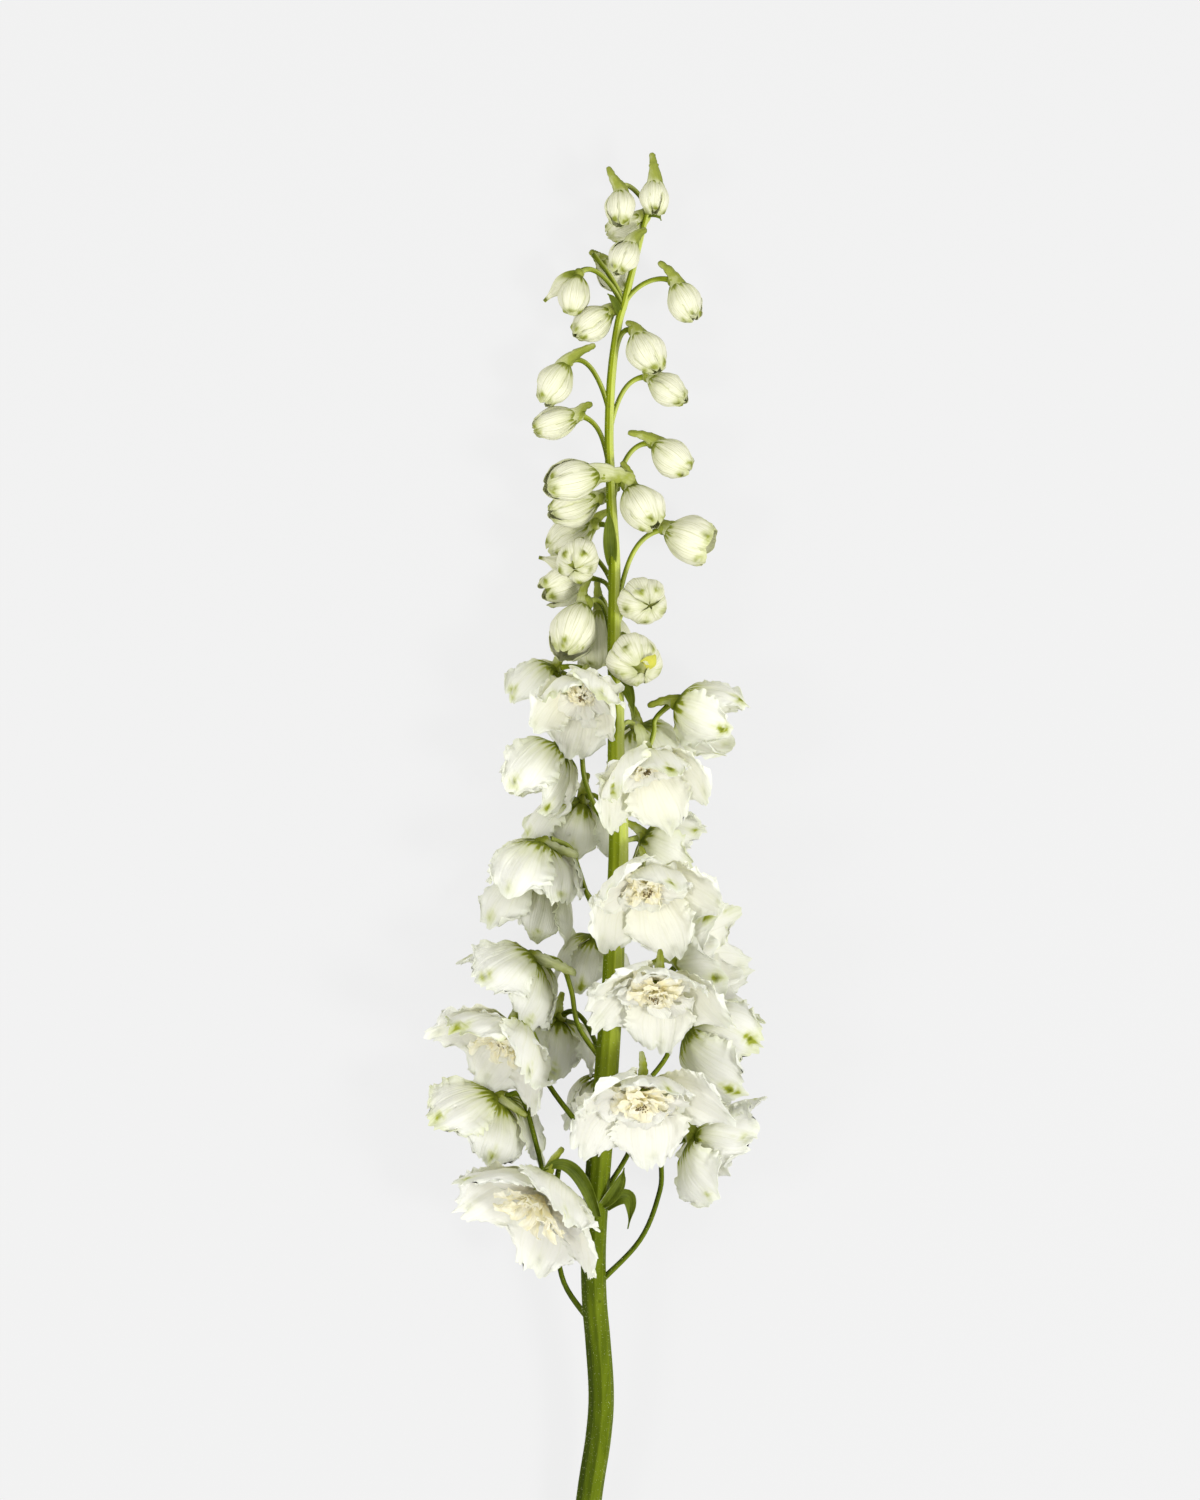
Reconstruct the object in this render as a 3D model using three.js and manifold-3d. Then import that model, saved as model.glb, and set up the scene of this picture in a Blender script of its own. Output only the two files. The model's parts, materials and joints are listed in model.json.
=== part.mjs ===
// A white delphinium spike: one cut flowering stem lying on a flat surface, tip along +Y.
// Millimetres, +Z up. The stem, its pedicels and its bracts grew as one piece; every bud and
// bloom is a piece of its own, and the open blooms hold a separate cream tuft, the bee.
import * as THREE from 'three';
import { mergeVertices } from 'three/addons/utils/BufferGeometryUtils.js';
import Module from 'manifold-3d';

const wasm = await Module();
wasm.setup();

// Driving dimensions.
const bladeThickness = 0.7; // sepals, petals and bracts
const seat = 0.3; // clearance between a bloom and the pedicel that carries it
const sepalCount = 5;
const hubShare = 0.12; // receptacle radius, as a share of the sepal length
const budFoot = 0.72; // where a pedicel stops short of a bud's centre, in receptacle radii
const bloomFoot = 1; // and of a bloom's
const beeFoot = 0.82; // where the bee starts in front of a bloom's centre
const footGirth = 0.78; // how much narrower a bud is at its foot
const overlapLift = 1.8; // how far a sepal's outer edge lies over its neighbour
const pedicelRadius = 0.8;
const pedicelRoot = 1.4; // how much thicker a pedicel is where it leaves the stem
const pedicelHead = 1.25; // and where it meets the receptacle
const spurRadius = 1.3;
const spurShare = 0.42; // spur length, as a share of the sepal length
const ribShare = 0.05; // height of the stem's ribs, as a share of its radius
const joinTolerance = 0.27; // detail finer than this is dropped where pieces join
const groundLevel = 0; // the surface that the spike lies on
const frameShift = [1.1, -170.4]; // from the lists' x and y to the middle of the spike

const petalWhite = { color: 0xf4f4ec, roughness: 0.55, metalness: 0 };
const budWhite = { color: 0xe6ead0, roughness: 0.55, metalness: 0 };
const beeCream = { color: 0xf3e8c0, roughness: 0.6, metalness: 0 };
const stemGreen = { color: 0x7d9a34, roughness: 0.5, metalness: 0 };

// The stem's centre line from the cut end to the tip: along, across, above the surface, radius.
const stemStations = [
  [-108, -17, 4.3, 4.3],
  [-70, -12, 6, 4.3],
  [-35, -7.5, 9.5, 4.3],
  [0, -3.7, 14, 4.25],
  [20, -0.7, 17, 4.25],
  [35, 0.3, 19.5, 4.2],
  [53, -0.8, 22.5, 4.15],
  [67, -2, 25, 4.1],
  [83, -2.3, 27.5, 4.1],
  [100, -1.5, 30, 4.15],
  [117, -0.2, 32, 4.1],
  [133, 1.3, 33.5, 4.0],
  [150, 2.5, 34.5, 3.9],
  [170, 4, 35, 3.6],
  [187, 4.7, 34.7, 3.4],
  [213, 6, 33.5, 3.3],
  [233, 6, 32, 3.0],
  [247, 5.3, 31, 2.8],
  [267, 5.3, 29, 2.6],
  [283, 4.7, 27.3, 2.3],
  [300, 4.7, 25.5, 2.0],
  [313, 4.7, 24, 2.0],
  [327, 4, 22.5, 1.8],
  [340, 3.5, 21, 1.6],
  [353, 3, 19.7, 1.5],
  [367, 3.3, 18.3, 1.5],
  [380, 4.3, 17, 1.45],
  [393, 6.2, 15.8, 1.35],
  [400, 8.2, 15.2, 1.3],
  [410, 10.7, 14.4, 1.15],
  [420, 13.3, 13.7, 0.95],
  [429.5, 15.7, 13, 0.8],
  [431, 16.2, 12.8, 0.7],
];

// The buds, from the tip down. at is the receptacle; facing is the way the bud points, as
// degrees round from +X and degrees above level; joins is where its pedicel leaves the stem;
// via are points that the pedicel passes; spur is the spur's tip; slim is a bud's girth.
const buds = [
  { at: [18.1, 441.3, 21], facing: [-91, 16], petal: 14, open: 0, slim: 0.92,
    joins: 429, spur: [17.3, 449.3, 20] },
  { at: [6.9, 437.7, 20], facing: [-91, 20], petal: 14.3, open: 0, slim: 0.96,
    joins: 430.7, spur: [2.7, 444.7, 19] },
  { at: [14.7, 429, 11], facing: [-155, 0], petal: 15, open: 0, slim: 0.96, joins: 425 },
  { at: [11.2, 420.5, 20], facing: [-117, 22], petal: 15.2, open: 0, slim: 0.95,
    joins: 412.7, spur: [15.3, 424, 18] },
  { at: [-0.3, 415, 6.8], facing: [-50, 0], petal: 15.5, open: 0, slim: 1,
    joins: 399, spur: [-3.3, 417.5, 6.5] },
  { at: [-7.2, 409.3, 16], facing: [-100, 8], petal: 15.5, open: 0, slim: 0.97,
    joins: 398.3, spur: [-18.7, 400.2, 15] },
  { at: [4, 397.3, 14], facing: [-145, 10], petal: 17, open: 0, slim: 0.97,
    joins: 394, spur: [8, 398.3, 13] },
  { at: [24.6, 406.8, 16], facing: [-61, 8], petal: 16.5, open: 0, slim: 0.95,
    joins: 399, spur: [19.7, 413.3, 15] },
  { at: [11.6, 390, 19], facing: [-61, 20], petal: 18, open: 0, slim: 1, joins: 372.3, spur: [9, 393, 16] },
  { at: [16.2, 375.1, 14], facing: [-34, 15], petal: 17, open: 0, slim: 0.95, joins: 356.7 },
  { at: [-10.9, 379.9, 16], facing: [-121, 6], petal: 17, open: 0, slim: 1,
    joins: 363.3, spur: [-1.7, 385.3, 20] },
  { at: [-7, 362.2, 15], facing: [-163, 5], petal: 17.5, open: 0, slim: 0.89,
    joins: 343.3, spur: [-2.7, 366, 13] },
  { at: [17.6, 352.8, 17], facing: [-36, 12], petal: 17.5, open: 0, slim: 0.98,
    joins: 331.7, spur: [9.5, 356, 20] },
  { at: [0.3, 342, 28], facing: [-166, 12], petal: 20.5, open: 0.12, slim: 0.96,
    joins: 339.3, spur: [11.3, 340, 26] },
  { at: [9.3, 338.3, 22], facing: [-57, 20], petal: 19.5, open: 0.05, slim: 1.03,
    joins: 315, spur: [7.3, 346, 25] },
  { at: [21.2, 324, 20], facing: [-22, 5], petal: 17.5, open: 0.3, slim: 1.02,
    joins: 293, spur: [13.8, 326.8, 13.5] },
  { at: [0, 334.3, 17], facing: [-163, 3], petal: 19, open: 0, slim: 0.95, joins: 318.3 },
  { at: [-2, 326, 6.8], facing: [-150, 0], petal: 19, open: 0, slim: 1, joins: 316.7 },
  { at: [-6, 316.7, 22], facing: [-110, 65], petal: 19, open: 0.1, slim: 1.05, joins: 303.3 },
  { at: [-4.8, 308, 12], facing: [-157, 10], petal: 16.5, open: 0.2, slim: 1,
    joins: 300, spur: [-20.5, 314.5, 15] },
  { at: [12.2, 301.5, 24], facing: [-40, 72], petal: 19.5, open: 0.12, slim: 1.15, joins: 286.7 },
  { at: [-5, 299, 24], facing: [-112, 25], petal: 22.5, open: 0.12, slim: 1.02, joins: 276 },
  { at: [0, 298.3, 12], facing: [-85, -5], petal: 22, open: 0.3, slim: 1, joins: 280 },
  { at: [8.4, 284.2, 28.3], facing: [-55, 62], petal: 21.5, open: 0.2, slim: 1.1, joins: 273.3 },
];

// The blooms, from the highest down, in the same terms. inner is how many petals show inside
// the sepals, bee is the width of the cream tuft where one shows, turn rolls the sepals round,
// and snug sepals are wider and lap closely.
const blooms = [
  { at: [-14.3, 277.3, 15], facing: [-125, -15], petal: 17.5, open: 0.4, joins: 266.7 },
  { at: [-5, 271, 33], facing: [-107, 45], petal: 23, open: 0.45, joins: 251.7, inner: 3, bee: 7 },
  { at: [25.3, 265.7, 25], facing: [-23, 5], petal: 25, open: 0.22, turn: 36, snug: true, joins: 226.7,
    spur: [16, 264.7, 25], via: [[18.3, 260, 24], [17, 252.7, 26]] },
  { at: [14, 248.5, 46], facing: [-74, 30], petal: 27, open: 0.5, joins: 236.7, inner: 4, bee: 8 },
  { at: [-13, 250.7, 26], facing: [-129, 5], petal: 25.5, open: 0.3, snug: true, joins: 223.3, inner: 2,
    via: [[-6.5, 250.5, 28], [-5, 240, 31], [0, 228.3, 33]] },
  { at: [-5.3, 233.3, 16], facing: [-105, -18], petal: 23, open: 0.45, joins: 216.7 },
  { at: [14.3, 220.7, 14], facing: [-30, -5], petal: 22, open: 0.5, joins: 210 },
  { at: [-18.3, 219.3, 33], facing: [-105, -8], petal: 23, open: 0.58, snug: true, joins: 188.3, inner: 2,
    spur: [-7.3, 215, 36], via: [[-10, 217.5, 30], [-7, 210, 29], [-3.3, 200, 31]] },
  { at: [-20, 206.7, 12.5], facing: [-110, -6], petal: 24, open: 0.45, joins: 183 },
  { at: [14.5, 208.5, 47], facing: [-77, 40], petal: 27.5, open: 0.62, joins: 191.7, inner: 5, bee: 12 },
  { at: [-21.3, 181, 28], facing: [-131, 0], petal: 25.5, open: 0.58, snug: true, joins: 145, inner: 2,
    spur: [-8.3, 176, 36], via: [[-13, 179, 29], [-9.5, 170, 33], [-7, 158, 34]] },
  { at: [-1, 187.7, 14], facing: [-98, -15], petal: 21, open: 0.4, joins: 166.7 },
  { at: [18.3, 174.5, 53], facing: [-95, 34], petal: 26.5, open: 0.82, joins: 148, inner: 5, bee: 13 },
  { at: [26.5, 179, 24], facing: [12, 14], petal: 26, open: 0.55, joins: 163 },
  { at: [28.8, 158, 24.5], facing: [-27, -6], petal: 28.5, open: 0.42, snug: true, joins: 123,
    via: [[23.3, 155, 25], [21, 146, 27]] },
  { at: [-28, 158.8, 41.5], facing: [-127, 20], petal: 29, open: 0.68, turn: 36, joins: 116.7,
    inner: 4, bee: 11, via: [[-22.5, 156.5, 32], [-19, 147, 32], [-16.7, 138.3, 33]] },
  { at: [-13.3, 160.2, 13], facing: [-102, -10], petal: 22, open: 0.4, joins: 141.7 },
  { at: [-33.3, 134.6, 26], facing: [-126, -24], petal: 24, open: 0.82, turn: -6, snug: true, joins: 56.7,
    spur: [-24.5, 128.5, 33],
    via: [[-26, 134.5, 29], [-21, 118, 30], [-18.5, 106, 23], [-15, 90, 19], [-12, 72, 20]] },
  { at: [13.3, 139.5, 52], facing: [-87, 34], petal: 29.5, open: 0.82, joins: 98.3, inner: 5, bee: 14,
    via: [[12.5, 131, 34], [10, 117, 29]] },
  { at: [30.6, 121.2, 25], facing: [-30, -9], petal: 26, open: 0.78, snug: true, joins: 70.7,
    via: [[21, 115, 24], [20, 103.3, 25], [13.3, 86.7, 26]] },
  { at: [-17, 106.5, 42], facing: [-122, 22], petal: 33, open: 0.76, joins: 97.3, inner: 4, bee: 12,
    via: [[-12.5, 112.5, 33.5], [-6, 107, 33.5]] },
  { at: [1, 141, 12.5], facing: [-90, -10], petal: 20, open: 0.4, joins: 130 },
  { at: [12, 258, 13], facing: [-70, -20], petal: 21, open: 0.4, joins: 250 },
];

// The leafy bracts that show: from the stem, over a bend, to the tip.
const bracts = [
  { from: [2, 98, 31], bend: [13, 108, 33], to: [9.3, 90.7, 26], width: 5 },
  { from: [-3, 95, 31], bend: [-9, 97, 31], to: [-11, 104, 27], width: 6 },
  { from: [1, 99, 33], bend: [7, 104, 37], to: [8, 111, 33], width: 4.5 },
  { from: [5, 272, 29], bend: [9.5, 275, 31.5], to: [11.5, 260.5, 33], width: 4.5 },
  { from: [3.9, 312, 24.5], bend: [3, 320, 28], to: [3, 331, 25.5], width: 4.5 },
  { from: [7, 395, 15.5], bend: [5, 401, 18], to: [2.5, 402.5, 18.5], width: 2.5 },
  { from: [15.7, 429, 13], bend: [19, 431, 14], to: [20.5, 427.5, 12], width: 2.5 },
];

const degrees = Math.PI / 180;
const lerp = THREE.MathUtils.lerp;
const clamp = THREE.MathUtils.clamp;

// A repeatable draw between -1 and 1 for the item numbered i and its feature j.
function wobble(i, j) {
  const s = Math.sin(i * 12.9898 + j * 78.233) * 43758.5453;
  return 2 * (s - Math.floor(s)) - 1;
}

function vec(list) {
  return new THREE.Vector3(...list);
}

// The sum of two directions, each by its share.
function mix(a, shareA, b, shareB) {
  return a.clone().multiplyScalar(shareA).addScaledVector(b, shareB);
}

// A closed solid, faces outward: corners that coincide become one and empty triangles go.
function solidOf(geometry) {
  const merged = mergeVertices(geometry, 1e-4);
  const corners = merged.index.array;
  const kept = [];
  for (let i = 0; i < corners.length; i += 3) {
    const [a, b, c] = corners.slice(i, i + 3);
    if (a !== b && b !== c && c !== a) kept.push(a, b, c);
  }
  const vertProperties = merged.attributes.position.array;
  const wound = (triVerts) => new wasm.Manifold(new wasm.Mesh({ numProp: 3, vertProperties, triVerts }));
  const solid = wound(new Uint32Array(kept));
  return solid.volume() > 0 ? solid : wound(new Uint32Array(kept.reverse()));
}

function solidFrom(points, triangles) {
  const geometry = new THREE.BufferGeometry().setFromPoints(points);
  geometry.setIndex(triangles);
  return solidOf(geometry);
}

// The biggest connected piece of a union: it leaves out sealed pockets and loose scraps.
function wholeOf(solids) {
  const pieces = wasm.Manifold.union(solids).simplify(joinTolerance).decompose();
  return pieces.reduce((best, piece) => (piece.volume() > best.volume() ? piece : best));
}

function meshOf(name, solid, finish) {
  const { vertProperties, triVerts, numProp } = solid.getMesh();
  const geometry = new THREE.BufferGeometry();
  const positions = new Float32Array((vertProperties.length / numProp) * 3);
  for (let i = 0; i < positions.length / 3; i++) {
    positions.set(vertProperties.subarray(i * numProp, i * numProp + 3), i * 3);
  }
  geometry.setAttribute('position', new THREE.BufferAttribute(positions, 3));
  geometry.setIndex([...triVerts]);
  geometry.computeVertexNormals();
  const mesh = new THREE.Mesh(geometry, new THREE.MeshStandardMaterial(finish));
  mesh.name = name;
  return mesh;
}

// A tapering rod of straight facets through the given points.
function rod(points, radii, sides, ribs = 0) {
  const vertices = [];
  let side = new THREE.Vector3(1, 0, 0);
  points.forEach((point, i) => {
    const ahead = points[Math.min(i + 1, points.length - 1)];
    const behind = points[Math.max(i - 1, 0)];
    const along = ahead.clone().sub(behind).normalize();
    side = side.clone().addScaledVector(along, -side.dot(along)).normalize();
    const across = along.clone().cross(side);
    for (let k = 0; k < sides; k++) {
      const turn = (2 * Math.PI * k) / sides;
      const reach = radii[i] * (1 + (k % 2 ? -ribs : ribs));
      const vertex = point
        .clone()
        .addScaledVector(side, reach * Math.cos(turn))
        .addScaledVector(across, reach * Math.sin(turn));
      vertex.z = Math.max(vertex.z, groundLevel);
      vertices.push(vertex);
    }
  });
  const triangles = [];
  for (let i = 0; i + 1 < points.length; i++) {
    for (let k = 0; k < sides; k++) {
      const a = i * sides + k;
      const b = i * sides + ((k + 1) % sides);
      triangles.push(a, b, b + sides, a, b + sides, a + sides);
    }
  }
  const last = (points.length - 1) * sides;
  for (let k = 1; k + 1 < sides; k++) {
    triangles.push(0, k + 1, k, last, last + k, last + k + 1);
  }
  return solidFrom(vertices, triangles);
}

// A thin closed sheet: place(t, v) gives a point and its outward normal, t along and v across.
function blade(place, stations, columns) {
  const outer = [];
  const inner = [];
  for (const t of stations) {
    for (let c = 0; c <= columns; c++) {
      const { point, normal } = place(t, (2 * c) / columns - 1);
      const front = point.clone().addScaledVector(normal, bladeThickness / 2);
      const back = point.clone().addScaledVector(normal, -bladeThickness / 2);
      const lift = Math.max(0, groundLevel - Math.min(front.z, back.z));
      front.z += lift;
      back.z += lift;
      outer.push(front);
      inner.push(back);
    }
  }
  const width = columns + 1;
  const count = outer.length;
  const triangles = [];
  for (let r = 0; r + 1 < stations.length; r++) {
    for (let c = 0; c < columns; c++) {
      const a = r * width + c;
      const [b, d, e] = [a + 1, a + width, a + width + 1];
      triangles.push(a, b, e, a, e, d);
      triangles.push(a + count, e + count, b + count, a + count, d + count, e + count);
    }
  }
  const rim = [];
  for (let c = 0; c < columns; c++) rim.push(c);
  for (let r = 0; r + 1 < stations.length; r++) rim.push(r * width + columns);
  for (let c = columns; c > 0; c--) rim.push((stations.length - 1) * width + c);
  for (let r = stations.length - 1; r > 0; r--) rim.push(r * width);
  rim.forEach((a, i) => {
    const b = rim[(i + 1) % rim.length];
    triangles.push(a, a + count, b + count, a, b + count, b);
  });
  return solidFrom([...outer, ...inner], triangles);
}

// A bract: a narrow leaf that leaves the stem, bends over and tapers to a point.
function bractSolid({ from, bend, to, width }) {
  const curve = new THREE.QuadraticBezierCurve3(vec(from), vec(bend), vec(to));
  const up = new THREE.Vector3(0, 0, 1);
  return blade(
    (t, v) => {
      const along = curve.getTangent(t);
      const across = along.clone().cross(up).normalize();
      const normal = across.clone().cross(along);
      const broad = 0.35 + 0.65 * Math.sin(Math.PI * (t + 0.12));
      const half = t < 1 ? (width / 2) * broad : 0;
      const point = curve.getPoint(t).addScaledVector(across, v * half);
      return { point: point.addScaledVector(normal, 0.25 * width * v * v), normal };
    },
    [0, 0.35, 0.7, 1],
    2,
  );
}

// The axes of a bud or bloom: where it faces, the side its spur is on, across, and the way
// that the pedicel runs into it.
function axesOf(row) {
  const [round, above] = row.facing.map((angle) => angle * degrees);
  const facing = new THREE.Vector3().setFromSphericalCoords(1, Math.PI / 2 - above, 0);
  facing.set(facing.z * Math.cos(round), facing.z * Math.sin(round), facing.y);
  const outward = vec(row.at).sub(stemAt(row.at[1]).point).setY(0).normalize();
  const tipwards = new THREE.Vector3(0, 1, 0).addScaledVector(outward, 0.8);
  const back = mix(tipwards, 1, facing, -tipwards.dot(facing)).normalize();
  const across = facing.clone().cross(back);
  const into = mix(facing, 0.75, back, 0.65).normalize();
  return { facing, back, across, into, centre: vec(row.at), hub: row.petal * hubShare };
}

// The midrib of a petal, from the receptacle's axis: out by reach, forward by rise, at lean.
function midrib(form, t) {
  const [start, end] = [form.baseLean * degrees, form.tipLean * degrees];
  const turn = end - start;
  const lean = start + turn * t;
  return {
    lean,
    reach: form.root + (form.length / turn) * (Math.cos(start) - Math.cos(lean)),
    rise: form.foot + (form.length / turn) * (Math.sin(lean) - Math.sin(start)),
  };
}

// Petals of one whorl stand edge to edge, so a petal widens with its distance from the axis.
function halfWidth(form, t) {
  const share = clamp((t - form.shoulder) / (1 - form.shoulder), 0, 1);
  const cap = lerp(1, form.tip, share ** 2.2);
  const root = Math.min(1, t / 0.05);
  return Math.min(form.width / 2, form.spread * degrees * midrib(form, t).reach) * cap * root;
}

// A point of a petal that stands at the given angle round the bloom's axis.
function petalPoint(axes, form, t, v) {
  const rounded = t * (1 - form.round * v * v);
  const { lean, reach, rise } = midrib(form, rounded);
  const angle = form.angle * degrees;
  const out = mix(axes.across, Math.cos(angle), axes.back, Math.sin(angle));
  const round = mix(axes.across, -Math.sin(angle), axes.back, Math.cos(angle));
  const outer = mix(out, Math.cos(lean), axes.facing, -Math.sin(lean));
  const curve = (form.wrap * Math.max(Math.cos(lean), 0.15)) / Math.max(reach, 2);
  const bend = curve * v * halfWidth(form, t);
  const normal = mix(outer, Math.cos(bend), round, Math.sin(bend));
  const layer = lerp(...form.layer, (v + 1) / 2) * lerp(0.4, 1, THREE.MathUtils.smoothstep(t, 0, 0.3));
  const ruffle = form.ruffle * v * v * t * Math.sin(form.waves * t + form.phase + 2 * v);
  const point = axes.centre
    .clone()
    .addScaledVector(out, reach)
    .addScaledVector(axes.facing, rise)
    .addScaledVector(round, Math.sin(bend) / curve)
    .addScaledVector(outer, -(1 - Math.cos(bend)) / curve)
    .addScaledVector(normal, layer + ruffle);
  return { point, normal };
}

// The two outer, two inner and one half-covered sepals of a delphinium, as edge heights.
const sepalLayers = [[0, 0], [1, 1], [0, 0], [1, 1], [0, 1]];

function sepalForm(row, number, i) {
  const { petal, open } = row;
  return {
    angle: 90 + (row.turn ?? 0) + (360 / sepalCount) * i + 4 * wobble(number, i),
    length: petal * (1 + 0.05 * wobble(number, i + 10)),
    width: petal * (row.snug ? 1 : 0.86),
    spread: row.snug ? 48 : 41,
    shoulder: row.snug ? 0.75 : 0.68,
    baseLean: lerp(62, 88, open),
    tipLean: lerp(-55, 45, open) + 7 * wobble(number, i + 20),
    root: petal * 0.05,
    foot: petal * 0.02,
    tip: row.snug ? 0.68 : 0.55,
    round: 0.12,
    wrap: 1,
    layer: sepalLayers[i].map((height) => height * overlapLift),
    ruffle: 1.2 * open,
    waves: 12,
    phase: 3 * wobble(number, i + 30),
  };
}

function innerForm(row, number, i) {
  const { petal, open } = row;
  return {
    angle: 126 + (360 / sepalCount) * i + 6 * wobble(number, i + 40),
    length: petal * 0.7,
    width: petal * 0.5,
    spread: 31,
    shoulder: 0.5,
    baseLean: 58,
    tipLean: lerp(-62, 50, open) + 6 * wobble(number, i + 50),
    root: petal * 0.03,
    foot: petal * 0.05,
    tip: 0.5,
    round: 0.1,
    wrap: 0.7,
    layer: [0, 0],
    ruffle: 1.0 * open,
    waves: 11,
    phase: 3 * wobble(number, i + 60),
  };
}

// The receptacle that the sepals and the spur stand on, pointed to where the pedicel meets it.
function hubOf(axes) {
  const ball = new THREE.OctahedronGeometry(axes.hub, 0);
  ball.deleteAttribute('normal');
  ball.deleteAttribute('uv');
  ball.applyQuaternion(new THREE.Quaternion().setFromUnitVectors(new THREE.Vector3(0, 0, 1), axes.into));
  ball.translate(...axes.centre);
  return solidOf(ball);
}

// The hollow spur of the back sepal, drawn out behind the bloom.
function spurOf(row, axes) {
  const start = axes.centre.clone().addScaledVector(axes.back, axes.hub * 0.45);
  const length = row.petal * spurShare;
  const straight = start.clone().add(mix(axes.facing, -length, axes.back, 0.1 * length));
  const end = row.spur ? vec(row.spur) : straight;
  const bend = start.clone().lerp(end, 0.5).addScaledVector(axes.back, 0.18 * length);
  const curve = new THREE.QuadraticBezierCurve3(start, bend, end);
  const radii = [1, 0.85, 0.45].map((share) => share * spurRadius);
  return rod(curve.getPoints(2), radii, 4);
}

// A bud: its five sepals still wrap one another, so they show as lobes and separate tips.
function budSolid(row, number) {
  const axes = axesOf(row);
  const form = sepalForm(row, number, 0);
  form.baseLean = 64;
  form.tipLean = lerp(-62, 45, row.open);
  form.length = row.petal * 1.1;
  const stations = row.open > 0 ? [0.3, 0.55, 0.78, 1] : [0.3, 0.6, 0.88];
  const around = 2 * sepalCount;
  const girth = (t) => row.slim * lerp(footGirth, 1, THREE.MathUtils.smoothstep(t, 0, 0.6));
  const points = [axes.centre.clone().addScaledVector(axes.facing, -0.6 * axes.hub)];
  const ring = (reachAt, riseAt, size) => {
    for (let k = 0; k < around; k++) {
      const turn = (90 + (360 / around) * k + 3 * wobble(number, k)) * degrees;
      const reach = reachAt(k % 2 === 0) * size;
      points.push(
        axes.centre
          .clone()
          .addScaledVector(axes.across, reach * Math.cos(turn))
          .addScaledVector(axes.back, reach * Math.sin(turn))
          .addScaledVector(axes.facing, riseAt(k % 2 === 0)),
      );
    }
  };
  ring(() => axes.hub, () => 0, 0.8);
  for (const t of stations) {
    const lobe = 0.03 + 0.09 * t;
    const at = (tip) => midrib(form, tip || t < 0.8 ? t : t - 0.13);
    ring((tip) => at(tip).reach * (tip ? 1 + lobe : 1 - lobe), (tip) => at(tip).rise, girth(t));
  }
  const mouthDepth = 0.12 + row.open;
  if (row.open > 0) {
    const mouth = midrib(form, 0.9 - mouthDepth / 2);
    ring(() => mouth.reach, () => mouth.rise, 0.45 * row.slim);
  }
  const apex = row.open > 0 ? 0.85 - mouthDepth : 1;
  points.push(axes.centre.clone().addScaledVector(axes.facing, midrib(form, apex).rise));
  const triangles = [];
  const rings = (points.length - 2) / around;
  for (let k = 0; k < around; k++) {
    const next = (k + 1) % around;
    triangles.push(0, 1 + k, 1 + next);
    for (let r = 0; r + 1 < rings; r++) {
      const [a, b] = [1 + r * around + k, 1 + r * around + next];
      triangles.push(a, a + around, b + around, a, b + around, b);
    }
    const last = 1 + (rings - 1) * around;
    triangles.push(last + k, points.length - 1, last + next);
  }
  return wholeOf([solidFrom(points, triangles), spurOf(row, axes)]);
}

function bloomSolid(row, number) {
  const axes = axesOf(row);
  const solids = [hubOf(axes), spurOf(row, axes)];
  const stations = row.snug || row.inner > 2 ? [0, 0.35, 0.75, 1] : [0, 0.6, 1];
  for (let i = 0; i < sepalCount; i++) {
    const form = sepalForm(row, number, i);
    solids.push(blade((t, v) => petalPoint(axes, form, t, v), stations, 2));
  }
  for (let i = 0; i < (row.inner ?? 0); i++) {
    const form = innerForm(row, number, i);
    solids.push(blade((t, v) => petalPoint(axes, form, t, v), [0, 0.55, 1], 2));
  }
  return wholeOf(solids);
}

// The bee: a crinkled tuft that stands just clear of the receptacle. Each ring of its profile
// gives the distance out, the height and the depth of the crinkles, in half widths.
function beeSolid(row, number) {
  const axes = axesOf(row);
  const wide = row.bee / 2;
  const around = 8;
  const profile = [
    [0.22, 0.25, 0],
    [0.6, 0.55, 0.06],
    [1, 0.85, 0.16],
    [0.55, 0.8, 0.1],
  ];
  const foot = axes.hub * beeFoot + seat;
  const at = (out, up, turn) =>
    axes.centre
      .clone()
      .addScaledVector(axes.facing, foot + up)
      .addScaledVector(axes.across, out * Math.cos(turn))
      .addScaledVector(axes.back, out * Math.sin(turn));
  const points = [at(0, 0, 0)];
  profile.forEach(([out, up, crinkle], p) => {
    for (let k = 0; k < around; k++) {
      const turn = ((360 / around) * k + 5 * wobble(number, k + 70)) * degrees;
      const flute = (k % 2 ? -crinkle : crinkle) + 0.3 * crinkle * wobble(number, k + 10 * p + 80);
      points.push(at(wide * out * (1 + flute), wide * (up + flute / 2), turn));
    }
  });
  points.push(at(0, wide * 0.45, 0));
  const triangles = [];
  for (let k = 0; k < around; k++) {
    const next = (k + 1) % around;
    triangles.push(0, 1 + next, 1 + k);
    for (let r = 0; r + 1 < profile.length; r++) {
      const [a, b] = [1 + r * around + k, 1 + r * around + next];
      triangles.push(a, b, b + around, a, b + around, a + around);
    }
    const last = 1 + (profile.length - 1) * around;
    triangles.push(last + k, last + next, points.length - 1);
  }
  return solidFrom(points, triangles);
}

// The stem's centre and radius at a distance along it.
function stemAt(along) {
  const after = clamp(
    stemStations.findIndex((station) => station[0] >= along),
    1,
    stemStations.length - 1,
  );
  const [low, high] = [stemStations[after - 1], stemStations[after]];
  const share = (along - low[0]) / (high[0] - low[0]);
  const [y, x, z, radius] = low.map((value, i) => lerp(value, high[i], share));
  return { point: new THREE.Vector3(x, y, z), radius };
}

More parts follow.
